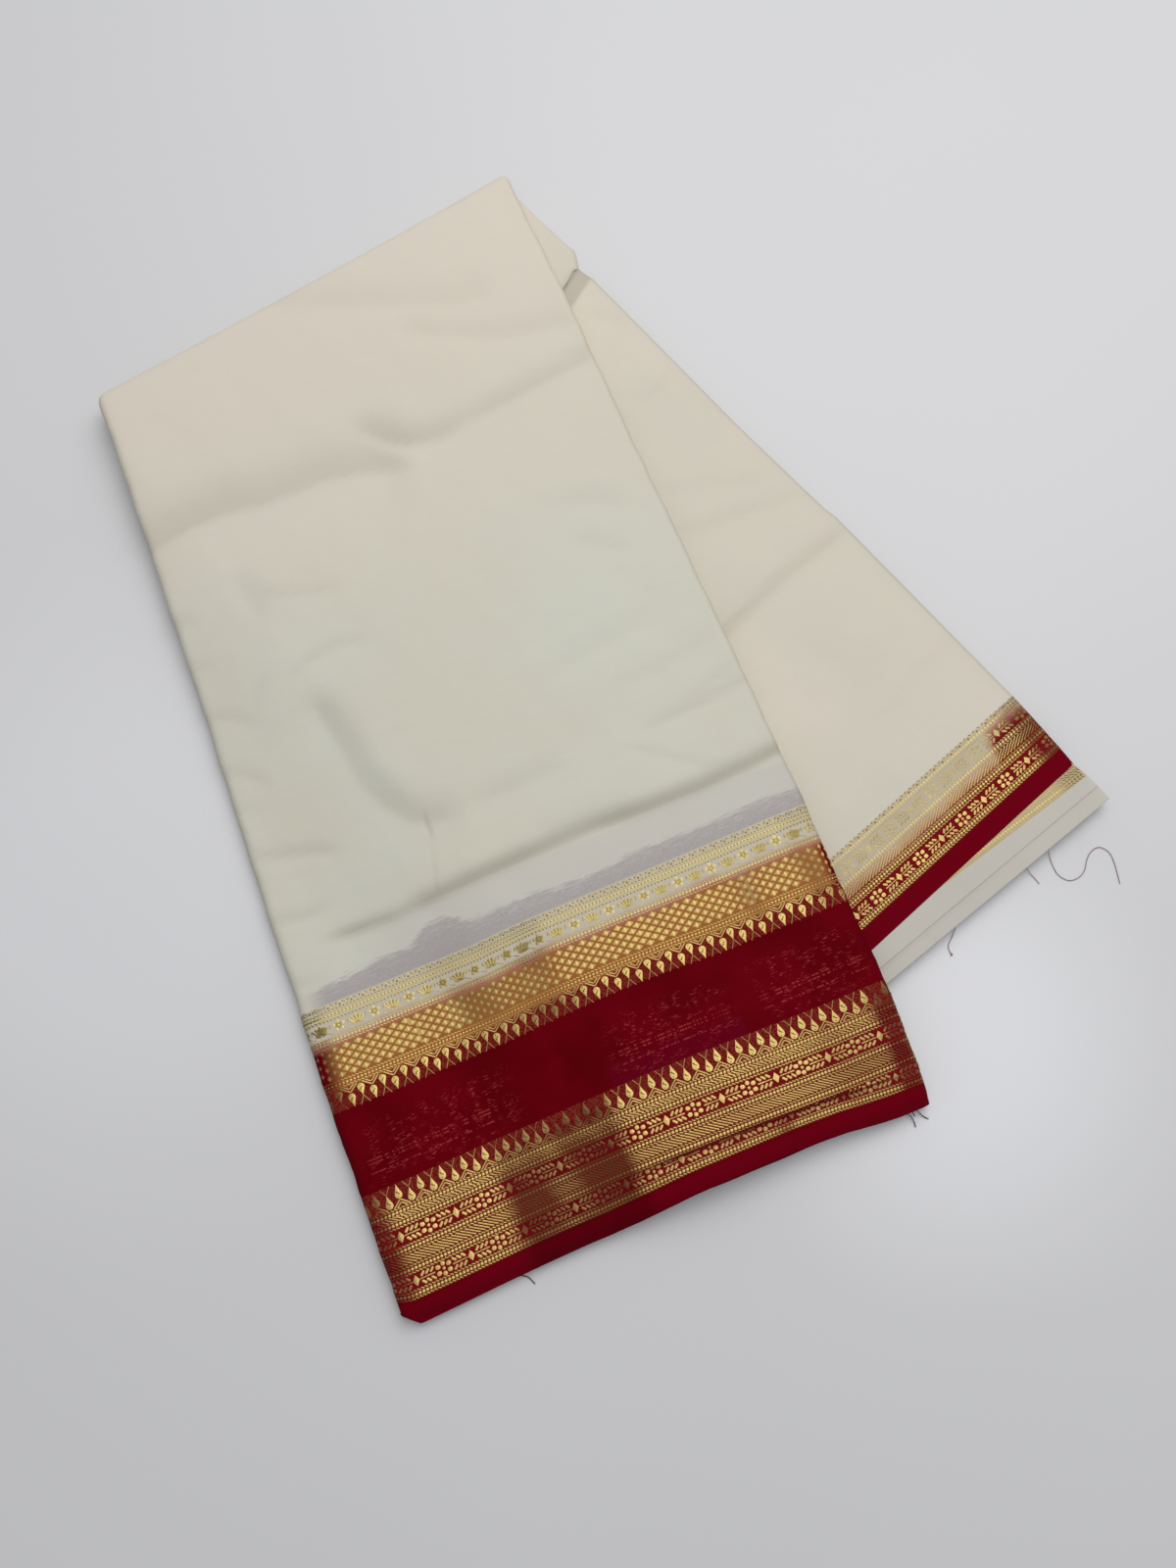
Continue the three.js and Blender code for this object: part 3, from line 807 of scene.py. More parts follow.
under_columns = wrap_columns(1.1 * SIDE_ARC, 6, 55)
a_grid, base = np.meshgrid(under_columns, np.concatenate([[0, 0.6, 2], np.linspace(5, 533, 100)]))
s_grid = base + (fold_line(WIDTH - a_grid) - fold_line(0)) * smooth(220, 533, base)
s_grid = s_grid - 6 * smooth(0, 533, base)
front_lower = sheet_piece("front_lower_face", a_grid, s_grid, front_under, front_ground,
                          "saree_layers", ["front_layers"])

# ---- Wound layers at the ends: nested rings of thin cloth, and the roll behind them


def ring_path(depth, height, top_points=44, side_points=7):
    """A closed rounded section of the strip, some depth inside its outer face."""
    half = height / 2 - depth
    reach = max(SIDE - 0.85 * depth, 0.7)
    angles = np.radians(np.linspace(90, -90, side_points + 2)[1:-1])
    top = np.linspace(SIDE, WIDTH - SIDE, top_points)
    side, even = reach * np.cos(angles), np.ones(top_points)
    u = np.concatenate([top, WIDTH - SIDE + side, top[::-1], SIDE - side])
    return u, height / 2 + half * np.concatenate([even, np.sin(angles), -even, -np.sin(angles)])


def ring_stack(place, height, first, count, ends, deep, seed):
    """Nested closed layers. ends(k, u, upper) is where each stops; place(u, h, run) maps them."""
    points, faces, uv, base = [], [], [], 0
    for k in range(count):
        depth = first + k * PITCH
        u, h = ring_path(depth, height)
        inner_u, inner_h = ring_path(depth + LAYER, height)
        upper = smooth(0.25, 0.75, (h - depth) / max(height - 2 * depth, 0.1))
        end = ends(k, u, 1.0) * upper + ends(k, u, 0.0) * (1 - upper)
        steps = np.array([0.0, 0.35, 2.5, 8.0])
        run = np.concatenate([end + steps[:, None], np.full((1, len(u)), deep)])
        flutter = 0.1 * wobble(u, seed + k, 37) * np.exp(-(run - end) / 6)
        rows, columns = run.shape
        size = rows * columns
        round_uv = np.tile(np.arange(columns) * 5.0, rows)
        for inner, shape in enumerate(((u, h), (inner_u, inner_h))):
            across, height_there = [np.tile(part, (rows, 1)) for part in shape]
            points.append(place(across, height_there + flutter, run).reshape(-1, 3))
            faces.append(grid_faces(rows, columns, base + inner * size, inner > 0, True))
            uv.append(np.stack([round_uv, (run - end).ravel() + 30 * (2 * k + inner)], -1))
        for row, order in ((0, (1, 2, 3, 0)), (rows - 1, (3, 2, 1, 0))):
            a = base + row * columns + np.arange(columns)
            b = np.roll(a, -1)
            rim = [a, b, b + size, a + size]
            faces.append(np.stack([rim[corner] for corner in order], -1))
        base += 2 * size
    return np.concatenate(points), faces, np.concatenate(uv)


def front_place(u, h, run):
    y = run + corner_cut(u, run)
    top = front_lift(u, y) * h / THICK
    x, y_seen = front_xy(u, y)
    return np.stack([x, y_seen, bed(u, y) + (h + top) * (1 - end_drop(y))], -1)


def front_ends(k, u, upper):
    hidden = 3.0 + 2.2 * abs(math.sin(3.7 * k + 1.9 * upper)) + 0.9 * upper * (k < 3)
    return hidden + 0.7 * wobble(u, 31 + 2 * k + upper, 160)


points, faces, uv = ring_stack(front_place, THICK, 0.62, 10, front_ends, 27.0, 40)
place_mesh("front_layer_ends", points, faces, crimson_layers, "saree_layers", ["front_layers"], uv)


def roll(name, place, height, depth, runs, material, replaced):
    """The closed roll of the layers that no one sees, from one end of a leg to the other."""
    u, h = ring_path(depth, height, 30, 5)
    rows, columns = len(runs), len(u)
    spread = np.stack([r(u) if callable(r) else np.full(columns, r) for r in runs])
    points = place(np.tile(u, (rows, 1)), np.tile(h, (rows, 1)), spread).reshape(-1, 3)
    faces = [grid_faces(rows, columns, ring=True)]
    # each cap pairs the ring's upper run with its lower run, and the side points close it
    half = columns // 2
    for row, flip in ((0, False), (rows - 1, True)):
        ring = row * columns + np.roll(np.arange(columns), 2)
        a, b = ring[:half - 1], ring[1:half]
        c, d = ring[::-1][1:half], ring[::-1][:half - 1]
        faces.append(np.stack([a, b, c, d] if flip else [a, d, c, b], -1))
    uv = np.stack([np.tile(np.arange(columns) * 8.0, rows), spread.ravel()], -1)
    place_mesh(name, points, faces, material, "saree_layers", replaced, uv)


front_runs = [24.0, 60.0, *np.linspace(100, 500, 21), lambda u: fold_line(u) - 3]
roll("front_roll", front_place, THICK, 2.4, front_runs, ivory, ["front_layers"])

# ---- Back leg

# Along the back leg, by place across it: the tuck's lip, and where the turn's cloth ends.
LIP = [(0, 126), (200, 108), (254, 100.5), (265, 96.5), (274.6, 93), (281, 90.5)]
TURN_END = [(0, 111.7), (200, 98), (258, 85.5), (268, 82), (275, 78.6), (281, 79)]


def back_top(a, up):
    """The top cloth below the tuck, by its distance up from the selvedge."""
    u, _ = section(a)
    along = BACK_END - up + 0.019 * (200 - u) * (1 - smooth(40, 160, up))
    fallen = smooth(0, 8.5, along_line(LIP, u) - along)
    return back_surface(a, along, 1.2 * fallen)


columns = wrap_columns(WRAP * SIDE_ARC, 12, 94)
run = np.concatenate([[0, 0.5, 1.4, 2.8, 4.6], np.arange(6.5, 66, 2.5), np.arange(68, 371, 4.0), [371]])
a_grid, base = np.meshgrid(columns, run)
lip_up = BACK_END - along_line(LIP, section(a_grid)[0])
s_grid = base + (lip_up - 371) * smooth(240, 371, base)
beyond = np.array([0.6, 1.4, 2.4, 3.8, 5.5, 7.5, 10.0, 13.0])
a_grid = np.concatenate([a_grid, np.repeat(a_grid[-1:], len(beyond), 0)])
s_grid = np.concatenate([s_grid, s_grid[-1][None] + beyond[:, None]])


# Painted shade in the back leg's creases, on the cloth that falls below the tuck's lip, and at the
# strip's sides.
def back_dull(a, up):
    u, h = section(a)
    dull = crease_field(u - WIDTH, BACK_END - up, BACK_CREASES)[1]
    fallen = smooth(-0.5, 3, along_line(LIP, u) - (BACK_END - up))
    return (dull + 0.62 * fallen) * (h / THICK) ** 2 + 1.8 * side_dull(a)


back_cloth = sheet_piece("back_cloth", a_grid, s_grid, back_top, back_ground, "saree_cloth",
                         ["back_fall"], back_dull)


def turn_top(a, back):
    """The short stretch between the turn and the tuck; back runs toward the fold."""
    return back_surface(a, -back, 0.6 * smooth(-9, 0, -back - along_line(TURN_END, section(a)[0])))


u_columns = section(columns)[0]
first = along_back(u_columns, fold_line(u_columns)) + 0.4
last = along_line(TURN_END, u_columns)
share = np.concatenate([np.linspace(0, 0.9, 22), [0.93, 0.96, 0.985, 1]])[::-1]
s_grid = -(first[None] + (last - first)[None] * share[:, None])
a_grid = np.repeat(columns[None], len(share), 0)


# Painted shade near the turn's end and at the strip's sides.
def turn_dull(a, back):
    u, h = section(a)
    near_end = smooth(-4, 0, -back - along_line(TURN_END, u))
    return (0.3 * near_end + side_dull(a)) * (h / THICK) ** 2


turn_cloth = sheet_piece("turn_cloth", a_grid, s_grid, turn_top, ivory_warm, "saree_cloth",
                         ["turn_fall"], turn_dull)


# How far the sides of the layers under the back leg stand in.
UNDER_INSET = 1.6


def under_layer(top, left, right, seed):
    """A layer under the back leg's top cloth, by its distance up from its own selvedge."""
    def place(a, up):
        along = left + (right - left) * a / WIDTH - up
        free = smooth(BACK_END - 3, BACK_END + 3, along)
        inset = UNDER_INSET * (1 - free) + 0.6 * free
        u = inset + (WIDTH - 2 * inset) * a / WIDTH
        x, y = back_xy(u, along)
        z = top - 0.7 * np.exp(-up / 9) + 0.08 * wobble(a, seed, 60) * np.exp(-up / 14)
        side = np.clip(1 - np.minimum(a, WIDTH - a) / 2.5, 0, 1)
        return np.stack([x, y, z - 0.8 * side**2], -1)

    return place


def seam_dull(a, up):
    """The painted shadow that the upper layer's edge throws on the lower one."""
    return 0.55 * np.exp(-(((up - 7.5 - 1.7 * a / WIDTH) / 0.9) ** 2))


side = np.array([0, 0.5, 1.2, 2.2, 3.5])
across = np.concatenate([side, np.linspace(5, WIDTH - 5, 95), (WIDTH - side)[::-1]])
a_grid, s_grid = np.meshgrid(across, np.concatenate([[0, 0.4, 1.2], np.linspace(2.5, 80, 32)]))
# Each layer's name, the height of its top, where it ends along the leg on the left and on the
# right, its seed, its material and its painted shadow.
UNDER = [("under_upper", 9.35, 500.5, 508.8, 60, sliver_ground, None),
         ("under_lower", 8.55, 508.0, 518.0, 61, ivory, seam_dull)]
under_places, under_ends = {}, {}
for name, top, left, right, seed, material, dull in UNDER:
    under_places[name] = under_layer(top, left, right, seed)
    under_ends[name] = sheet_piece(name, a_grid, s_grid, under_places[name], material, "saree_cloth",
                                   ["back_" + name], dull)

# Height of the hidden layers' stack under the back leg's end.
BACK_STACK = 7.7


def back_place(u, h, run):
    """run is measured up the leg from where the hidden layers end."""
    along = 510.5 + 4.5 * u / WIDTH - run
    x, y = back_xy(u, along)
    return np.stack([x, y, np.maximum(h, 0)], -1)


def back_ends(k, u, upper):
    hidden = 3.0 + 2.6 * abs(math.sin(2.9 * k + 2.3 * upper))
    return hidden + 0.7 * wobble(u, 71 + 2 * k + upper, 150)


points, faces, uv = ring_stack(back_place, BACK_STACK, 0.05, 8, back_ends, 30.0, 80)
place_mesh("back_layer_ends", points, faces, ivory, "saree_layers", ["back_layers"], uv)


def back_roll_place(u, h, run):
    x, y = back_xy(u, run)
    return np.stack([x, y, h], -1)


back_runs = [484.0, *np.linspace(480, 20, 24), lambda u: along_back(u, fold_line(u)) + 1.0]
roll("back_roll", back_roll_place, 9.3, 0.5, back_runs, ivory, ["back_layers"])


def back_under(a, along):
    u, h = under_section(a)
    x, y = back_xy(u, along)
    rib = 0.4 * crease_depth(u - WIDTH, along - 9, BACK_CREASES[:5]) * away_from_sides(u)
    return np.stack([x, y, h + rib], -1)


a_grid, base = np.meshgrid(under_columns, np.linspace(0, 1, 110))
u_grid = under_section(a_grid)[0]
first = along_back(u_grid, fold_line(u_grid)) + 2
s_grid = first + (505.0 - first) * base
back_lower = sheet_piece("back_lower_face", a_grid, s_grid, back_under, ivory, "saree_layers",
                         ["back_layers"])

# ---- Zari motifs

# Height of a float's foot, just inside the cloth.
SINK = -0.02


def fan(outline, height=0.2, centre=(0, 0), foot=SINK):
    """A low pyramid over an outline."""
    rim = [(x, y, foot) for x, y in outline]
    k = np.arange(len(rim))
    faces = np.stack([k, (k + 1) % len(rim), np.full(len(rim), len(rim))], -1)
    return np.array([*rim, (*centre, height)], float), faces


def disc(radius, count=6, height=0.2, tall=1.0):
    angle = np.arange(count) * 2 * math.pi / count + 0.3
    return fan(list(zip(radius * np.cos(angle), radius * tall * np.sin(angle))), height)


def bar(x1, y1, x2, y2, width, height=0.16):
    """A pointed float of thread with a ridge along it."""
    start, end = np.array([x1, y1]), np.array([x2, y2])
    length = math.hypot(x2 - x1, y2 - y1)
    way = (end - start) / length
    across = np.array([-way[1], way[0]]) * width / 2
    tip = way * min(width * 0.35, length * 0.3)
    rim = [start, start + tip - across, end - tip - across, end, end - tip + across,
           start + tip + across]
    ridge = [start + tip * 1.3, end - tip * 1.3]
    points = np.array([[*p, SINK] for p in rim] + [[*p, height] for p in ridge])
    faces = [(0, 1, 6), (1, 2, 7), (1, 7, 6), (2, 3, 7), (3, 4, 7), (4, 5, 6), (4, 6, 7), (5, 0, 6)]
    return points, np.array(faces)


class Motifs:
    """Many small raised floats of gold thread, stamped in cloth places, as one mesh."""

    def __init__(self, warp=None):
        self.points, self.faces, self.shades, self.count = [], [], [], 0
        self.warp = warp or (lambda p: p)

    def row(self, shape, pitch, y, phase=0.0, flip_x=1, flip_y=1, shade=0.0):
        """Stamps a shape all along one row of the border."""
        points, faces = shape
        x = np.arange(math.ceil((-20 - phase) / pitch), (310 - phase) / pitch) * pitch + phase
        x = self.warp(x)
        x = x[np.abs(x - WIDTH / 2) < WIDTH / 2 + 7.5]
        places = np.stack([x, np.full(len(x), y), np.zeros(len(x))], -1)
        moved = points[None] * np.array([flip_x, flip_y, 1]) + places[:, None]
        turned = faces if flip_x * flip_y > 0 else faces[:, ::-1]
        offsets = self.count + np.arange(len(x))[:, None, None] * len(points)
        self.points.append(moved.reshape(-1, 3))
        self.faces.append((turned[None] + offsets).reshape(-1, 3))
        self.shades.append(np.full(len(x) * len(points), shade))
        self.count += len(x) * len(points)

    def repeat(self, pitch, y, phase, flip_y=1):
        """A way to stamp shapes by their place in one repeat of a row."""
        def put(shape, across=0.0, up=0.0, flip_x=1, flip=1, shade=0.0):
            self.row(shape, pitch, y + flip_y * up, phase + across, flip_x, flip_y * flip, shade)

        return put

    def build(self, name, place, material, replaced, tone, area):
        """One mesh of the floats whose middles lie between two lengths from the selvedge."""
        points = np.concatenate(self.points)
        faces = np.concatenate(self.faces)
        middle = points[faces].mean(1)[:, 1]
        faces = faces[(middle >= area[0]) & (middle < area[1])]
        used, inverse = np.unique(faces, return_inverse=True)
        points, faces = points[used], inverse.reshape(-1, 3)
        shade = np.concatenate(self.shades)[used]
        reach = WRAP * SIDE_ARC - 0.5
        a, s = np.clip(points[:, 0], SIDE - reach, WIDTH - SIDE + reach), points[:, 1]
        world = place(a, s) + normals(place, a, s) * points[:, 2:]
        uv = np.stack([a, s], -1)
        base = tone(a, s)
        tone_there = np.clip(base + shade * np.clip(base / 0.9, 0.3, 1), 0, 1.2)
        return place_mesh(name, world, [faces], material, "zari", replaced, uv, shade_smooth=False,
                          tone=tone_there)


# Shapes and steps of the beads and the cords, and the hatching's step and slope.
DOT = disc(0.82, 6, 0.26)
DASH = bar(-0.88, 0.42, 0.88, -0.42, 0.62)
DOT_PITCH = 1.95
HATCH_PITCH = 2.45
HATCH_SLOPE = math.tan(math.radians(33))


def rope(motifs, y):
    motifs.row(DASH, DOT_PITCH, y, shade=-0.08)


def beads(motifs, y):
    motifs.row(DOT, DOT_PITCH, y, shade=0.25)


def hatching(motifs, low, high, lean=1):
    """Slanting lines from the upper left to the lower right, in pieces that follow the cloth."""
    rise = high - low
    run = rise / HATCH_SLOPE
    pieces = max(1, int(round(rise / 1.7)))
    for k in range(pieces):
        first, last = k / pieces - 0.5, (k + 1) / pieces - 0.5
        line = bar(run * first - 0.1, -rise * first, run * last + 0.1, -rise * last, 0.66, 0.14)
        motifs.row(line, HATCH_PITCH, (low + high) / 2, flip_x=lean)


PETAL = [(1.3, 0.3), (0.95, 1.1), (-0.3, 1.2), (-1.25, 0.55), (-1.15, -0.65), (0.1, -1.1), (1.1, -0.65)]


def vine(motifs, y, pitch, phase, half=3.9):
    """Diamonds and round flowers on a stem, with sprays of slanting leaves."""
    k = half / 3.9
    put = motifs.repeat(pitch, y, phase)
    quarter = [(1.85, 0), (0.95, 1.45 * k), (0, 2.95 * k), (-0.95, 1.45 * k)]
    put(fan([*quarter, *[(-across, -up) for across, up in quarter]], 0.28))
    for side in (1, -1):
        put(bar(1.9, 0, 6.0, 0, 0.55), flip_x=side)
        put(bar(5.8, 0, 9.8, 0, 0.75), flip_x=side)
        for up in (1, -1):
            for x in (2.6, 5.0, 7.4):
                put(bar(x, 1.0 * k, x + 2.2, 3.2 * k, 1.22, 0.24), flip_x=side, flip=up, shade=0.1)
    middle = pitch / 2
    put(disc(0.85, 6, 0.26), middle, shade=0.1)
    for up in (1, -1):
        put(disc(1.2, 7, 0.26), middle, up * 2.55 * k, shade=0.1)
        for side in (1, -1):
            petal = fan([(side * x, up * tall) for x, tall in PETAL][::side * up], 0.26)
            put(petal, middle + side * 2.85, up * 1.5 * k, shade=0.1)


# A drop's half outline: share of its height, share of its half width.
DROP = [(0.02, 0.4), (0.1, 0.8), (0.2, 0.98), (0.3, 1.0), (0.42, 0.86), (0.56, 0.62), (0.7, 0.38),
        (0.85, 0.17)]


def teardrop(put, width, height, across, up):
    """A drop with its head at a place and its tip further on, with a dark vein and tick."""
    outline = [(width / 2 * out, height * share) for share, out in DROP]
    drop = [*outline, (0, height), *[(-x, y) for x, y in outline[::-1]], (0, -0.05)]
    put(fan(drop, 0.28, (0, height * 0.32)), across, up)
    put(bar(-0.95, height * 0.52, 0.8, height * 0.25, 0.85, 0.46), across, up, shade=-1.2)
    put(bar(-0.75, height * 0.16, 0.1, height * 0.12, 0.5, 0.4), across, up, shade=-1.2)


def temple_row(motifs, base, way, pitch, phase, apex, drops):
    """Chevrons with a teardrop over each and one between them, growing away from base."""
    put = motifs.repeat(pitch, base, phase, way)
    for reach, top in ((4.3, apex + 0.2), (2.6, apex - 1.4)):
        for side in (1, -1):
            put(bar(side * reach, 0.55, 0, top, 0.68, 0.18))
    (over, over_tall), (between, between_tall) = drops
    teardrop(put, 3.8, over_tall, 0, over)
    teardrop(put, 3.9, between_tall, pitch / 2, between)
    for side in (1, -1):
        stem = bar(0, between + between_tall - 0.3, side * 2.4, over + over_tall - 0.1, 0.42, 0.1)
        put(stem, pitch / 2, shade=-0.4)


def lattice(motifs, first, rows, step, pitch, phase):
    """Pale lozenges on darker gold ones; the ground between those draws the net."""
    lozenge = fan([(0.95, 0), (0, 1.25), (-0.95, 0), (0, -1.25)], 0.24, foot=0.08)
    wide, tall = pitch * 0.48, step * 0.95
    ground = fan([(wide, 0), (0, tall), (-wide, 0), (0, -tall)], 0.07)
    for j in range(rows):
        put = motifs.repeat(pitch, first + j * step, phase + (pitch / 2 if j % 2 else 0))
        put(ground, shade=-0.42)
        put(lozenge, shade=0.2)


LOTUS = [(1.7, -2.9), (3.6, -1.3), (4.2, 1.2), (3.0, 2.0), (1.5, 2.1), (0, 2.9)]
LOTUS_PETALS = [(0, -1.6, 0, 2.9, 1.2), (0.8, -1.8, 2.4, 2.1, 1.1), (1.5, -2.2, 4.1, 1.3, 1.1),
                (0.2, -2.8, 3.2, -1.9, 0.7)]


def flower_band(motifs, y, pitch, phase):
    """Lotus flowers with a rosette between each two, bright petals on darker gold."""
    put = motifs.repeat(pitch, y, phase)
    put(fan([*LOTUS, *[(-across, up) for across, up in LOTUS[-2::-1]]], 0.06), shade=-0.6)
    for petal in LOTUS_PETALS:
        for side in (1, -1) if petal[2] else (1,):
            put(bar(*petal, 0.26), flip_x=side, shade=0.05)
    middle = pitch / 2
    put(disc(2.9, 8, 0.06, 0.85), middle, shade=-0.6)
    put(disc(0.8, 6, 0.26), middle, shade=0.05)
    for k in range(5):
        angle = math.radians(90 + 72 * k)
        put(disc(1.1, 6, 0.26), middle + 2.5 * math.cos(angle), 2.05 * math.sin(angle), shade=0.05)
    for quarter in (pitch / 4, 3 * pitch / 4):
        put(bar(-1.5, -2.4, 1.5, -3.7, 0.5), quarter)
        put(bar(0, -0.6, 0.4, 1.6, 0.5), quarter, shade=-0.4)


def sawtooth(motifs, base, pitch, phase, tall):
    """Chevrons with a dot between each two."""
    put = motifs.repeat(pitch, base, phase)
    for side in (1, -1):
        put(bar(side * pitch * 0.31, 0.1, 0, tall, 0.62))
    put(disc(0.62, 5, 0.2), up=tall * 0.3, shade=-0.9)
    for side in (1, -1):
        put(bar(side * 0.9, 1.2, side * 1.9, 2.3, 0.5), pitch / 2, shade=-0.8)
    put(disc(0.72, 6, 0.2, 1.3), pitch / 2, tall * 0.45, shade=-0.2)


# The wide border: where the vine's diamonds stand, which fixes how the weave is drawn in.
DIAMOND_STEP = 29.5
DIAMONDS = [-16.3, 12.5, 41, 69.5, 96.5, 124, 154, 183.6, 212.4, 239.8, 267.4, 295.0]


def wide_warp(p):
    return np.interp(p, np.arange(-1, len(DIAMONDS) - 1) * DIAMOND_STEP, DIAMONDS)


wide = Motifs(wide_warp)
for y in (12.6, 15.7, 23.7, 27.0, 33.2, 36.5, 45.8, 49.0, 51.4, 54.3, 120.3, 123.5, 142.0, 145.0,
          154.7, 158.2):
    rope(wide, y)
for y in (14.15, 25.35, 34.85, 47.5, 52.8, 143.7, 156.6):
    beads(wide, y)
wide.row(disc(0.66, 6, 0.24), DOT_PITCH, 121.9, shade=0.25)
vine(wide, 19.75, DIAMOND_STEP, 0.0, 3.6)
vine(wide, 41.3, DIAMOND_STEP, 0.0)
hatching(wide, 27.9, 32.4)
hatching(wide, 49.4, 51.2)
temple_row(wide, 54.2, 1, 11.8, 147.3, 4.0, ((4.4, 7.6), (1.1, 7.3)))
temple_row(wide, 120.0, -1, 11.6, 150.5, 3.8, ((4.5, 7.3), (1.2, 6.6)))
lattice(wide, 126.1, 7, 2.22, 6.47, 147.5)
flower_band(wide, 150.3, 19.4, 150.2)
sawtooth(wide, 159.5, 6.35, 2.3, 2.6)
for y, phase in ((156.6, 0.5), (154.0, 0.0), (158.9, 0.3)):
    wide.row(disc(0.42, 5, 0.16), DOT_PITCH, y, phase * DOT_PITCH, shade=-0.9)

# Painted shade and painted light on the gold: x from the measuring origin, low and high, length from
# the selvedge, low and high, softness, how much darker (painted light where negative).
PAINTED_GOLD_SHADING = [
    (-58, 8, -5, 56, 6, 0.76), (-58, 8, 56, 72, 4, 0.5), (-58, 8, 49, 54, 2, -0.16),
    (-33, -24, -5, 60, 5, -0.16), (-55, -38, 16, 42, 5, 0.16), (-18, 4, 14, 42, 5, 0.22),
    (-57, 6, 142, 168, 5, 0.3), (-13, 9, 138, 168, 6, 0.15), (-58, 12, 100, 119, 8, 0.2),
    (-14, 16, 106, 119, 6, 0.4), (-22, 6, 117, 147, 8, 0.42), (-47, -26, 119, 147, 7, 0.42),
    (107, 117, 115, 144, 6, 0.3), (-112, -60, 115, 168, 6, -0.15), (10, 113, -5, 23.5, 3, 0.2),
    (113, 180, -5, 62, 8, 0.3), (86, 150, 119, 147, 6, 0.14), (146, 155, -5, 82, 4, 0.75),
    (155, 178, -5, 82, 3, 0.3), (141, 175, 82, 168, 5, 0.4), (-145, -113, -5, 170, 5, 0.85),
    (80, 88, 8, 22, 4, 0.3), (-106, -56, -5, 23, 3, 0.18), (-26, 5, 55, 68, 4, 0.3),
]


def plateau(low, high, soft, value):
    return smooth(low - soft, low + soft, value) * (1 - smooth(high - soft, high + soft, value))


# The wide border's gold: its tone, uneven at random, with painted shade and painted light by zones and
# painted shade at the tuck.
def wide_tone_and_shading(a, s):
    x = a - TABLE_X
    tone = 0.9 + 0.12 * wobble(a + s, 91, 60)
    for low, high, under, over, soft, dark in PAINTED_GOLD_SHADING:
        tone = tone - dark * plateau(low, high, soft, x) * plateau(under, over, soft, s)
    u, _ = section(a)
    return np.clip(tone, 0, 1) * np.exp(-1.5 * tuck_painted_shade(u, front_y(u, s)))


front_zari = wide.build("front_zari_crimson", front_surface, gold, ["front_fall"], wide_tone_and_shading, (0, 142.6))
front_zari_pale = wide.build("front_zari_ivory", front_surface, pale_gold, ["front_fall"], wide_tone_and_shading,
                             (142.6, 170))

narrow = Motifs()
for y in (11.8, 14.6, 23.1, 26.2, 33.0, 35.7, 45.0):
    rope(narrow, y)
for y in (13.2, 24.7, 34.4, 46.5):
    beads(narrow, y)
vine(narrow, 18.4, 31.7, 262.0, 3.5)
vine(narrow, 40.3, 31.7, 260.0, 3.7)
hatching(narrow, 27.4, 32.2, -1)
sawtooth(narrow, 47.6, 6.3, 1.0, 1.9)


def narrow_tone(a, s):
    tone = 0.85 + 0.15 * wobble(a + s, 95, 55) - 0.75 * smooth(262, 273, a)
    return np.clip(tone - 0.3 * plateau(36.25, 44.75, 0.75, s), 0, 1)


back_zari = narrow.build("back_zari_crimson", back_top, gold, ["back_fall"], narrow_tone, (0, 29.5))
back_zari_pale = narrow.build("back_zari_ivory", back_top, pale_gold, ["back_fall"], narrow_tone,
                              (29.5, 60))

sliver = Motifs()
for y in (8.8, 12.0, 16.4, 19.8):
    rope(sliver, y)
beads(sliver, 10.4)
beads(sliver, 18.1)
hatching(sliver, 12.8, 15.4)


def sliver_place(a, s):
    """The hidden layer's border shows more and more of itself toward the right."""
    return under_places["under_upper"](np.clip(a, 1, WIDTH - 1), s + (WIDTH - a) * SLIVER_SLANT)


under_zari = sliver.build("under_zari", sliver_place, pale_gold, ["back_under_upper"],
                          narrow_tone, (0, 30))

# ---- Loose threads


def smooth_line(points, per=8):
    """A smooth curve through the points."""
    padded = np.concatenate([[2 * points[0] - points[1]], points, [2 * points[-1] - points[-2]]])
    out = []
    for k in range(1, len(padded) - 2):
        p0, p1, p2, p3 = padded[k - 1:k + 3]
        for t in np.linspace(0, 1, per, endpoint=False):
            out.append(0.5 * (2 * p1 + (p2 - p0) * t + (2 * p0 - 5 * p1 + 4 * p2 - p3) * t * t
                              + (3 * p1 - p0 - 3 * p2 + p3) * t**3))
    return np.array([*out, points[-1]])


def tube(line, radius, sides=6):
    """Points, faces and cloth UV of a thread along a line."""
    way = np.gradient(line, axis=0)
    way /= np.linalg.norm(way, axis=1, keepdims=True)
    flat = np.cross(way, [0, 0, 1.0])
    flat /= np.maximum(np.linalg.norm(flat, axis=1, keepdims=True), 1e-6)
    rise = np.cross(flat, way)
    angle = np.arange(sides) * 2 * math.pi / sides
    ring = flat[:, None] * np.cos(angle)[:, None] + rise[:, None] * np.sin(angle)[:, None]
    points = (line[:, None] + ring * radius).reshape(-1, 3)
    caps = [np.arange(sides)[None, ::-1], (len(line) - 1) * sides + np.arange(sides)[None]]
    faces = [grid_faces(len(line), sides, flip=True, ring=True), *caps]
    length = np.concatenate([[0], np.cumsum(np.linalg.norm(np.diff(line, axis=0), axis=1))])
    uv = np.stack([np.tile(np.arange(sides) * 0.3, len(line)), np.repeat(length, sides)], -1)
    return points, faces, uv


def back_spot(t, along):
    x = WIDTH + t * ACROSS[0] + along * ALONG[0]
    y = RIGHT_LENGTH + t * ACROSS[1] + along * ALONG[1]
    return x, y


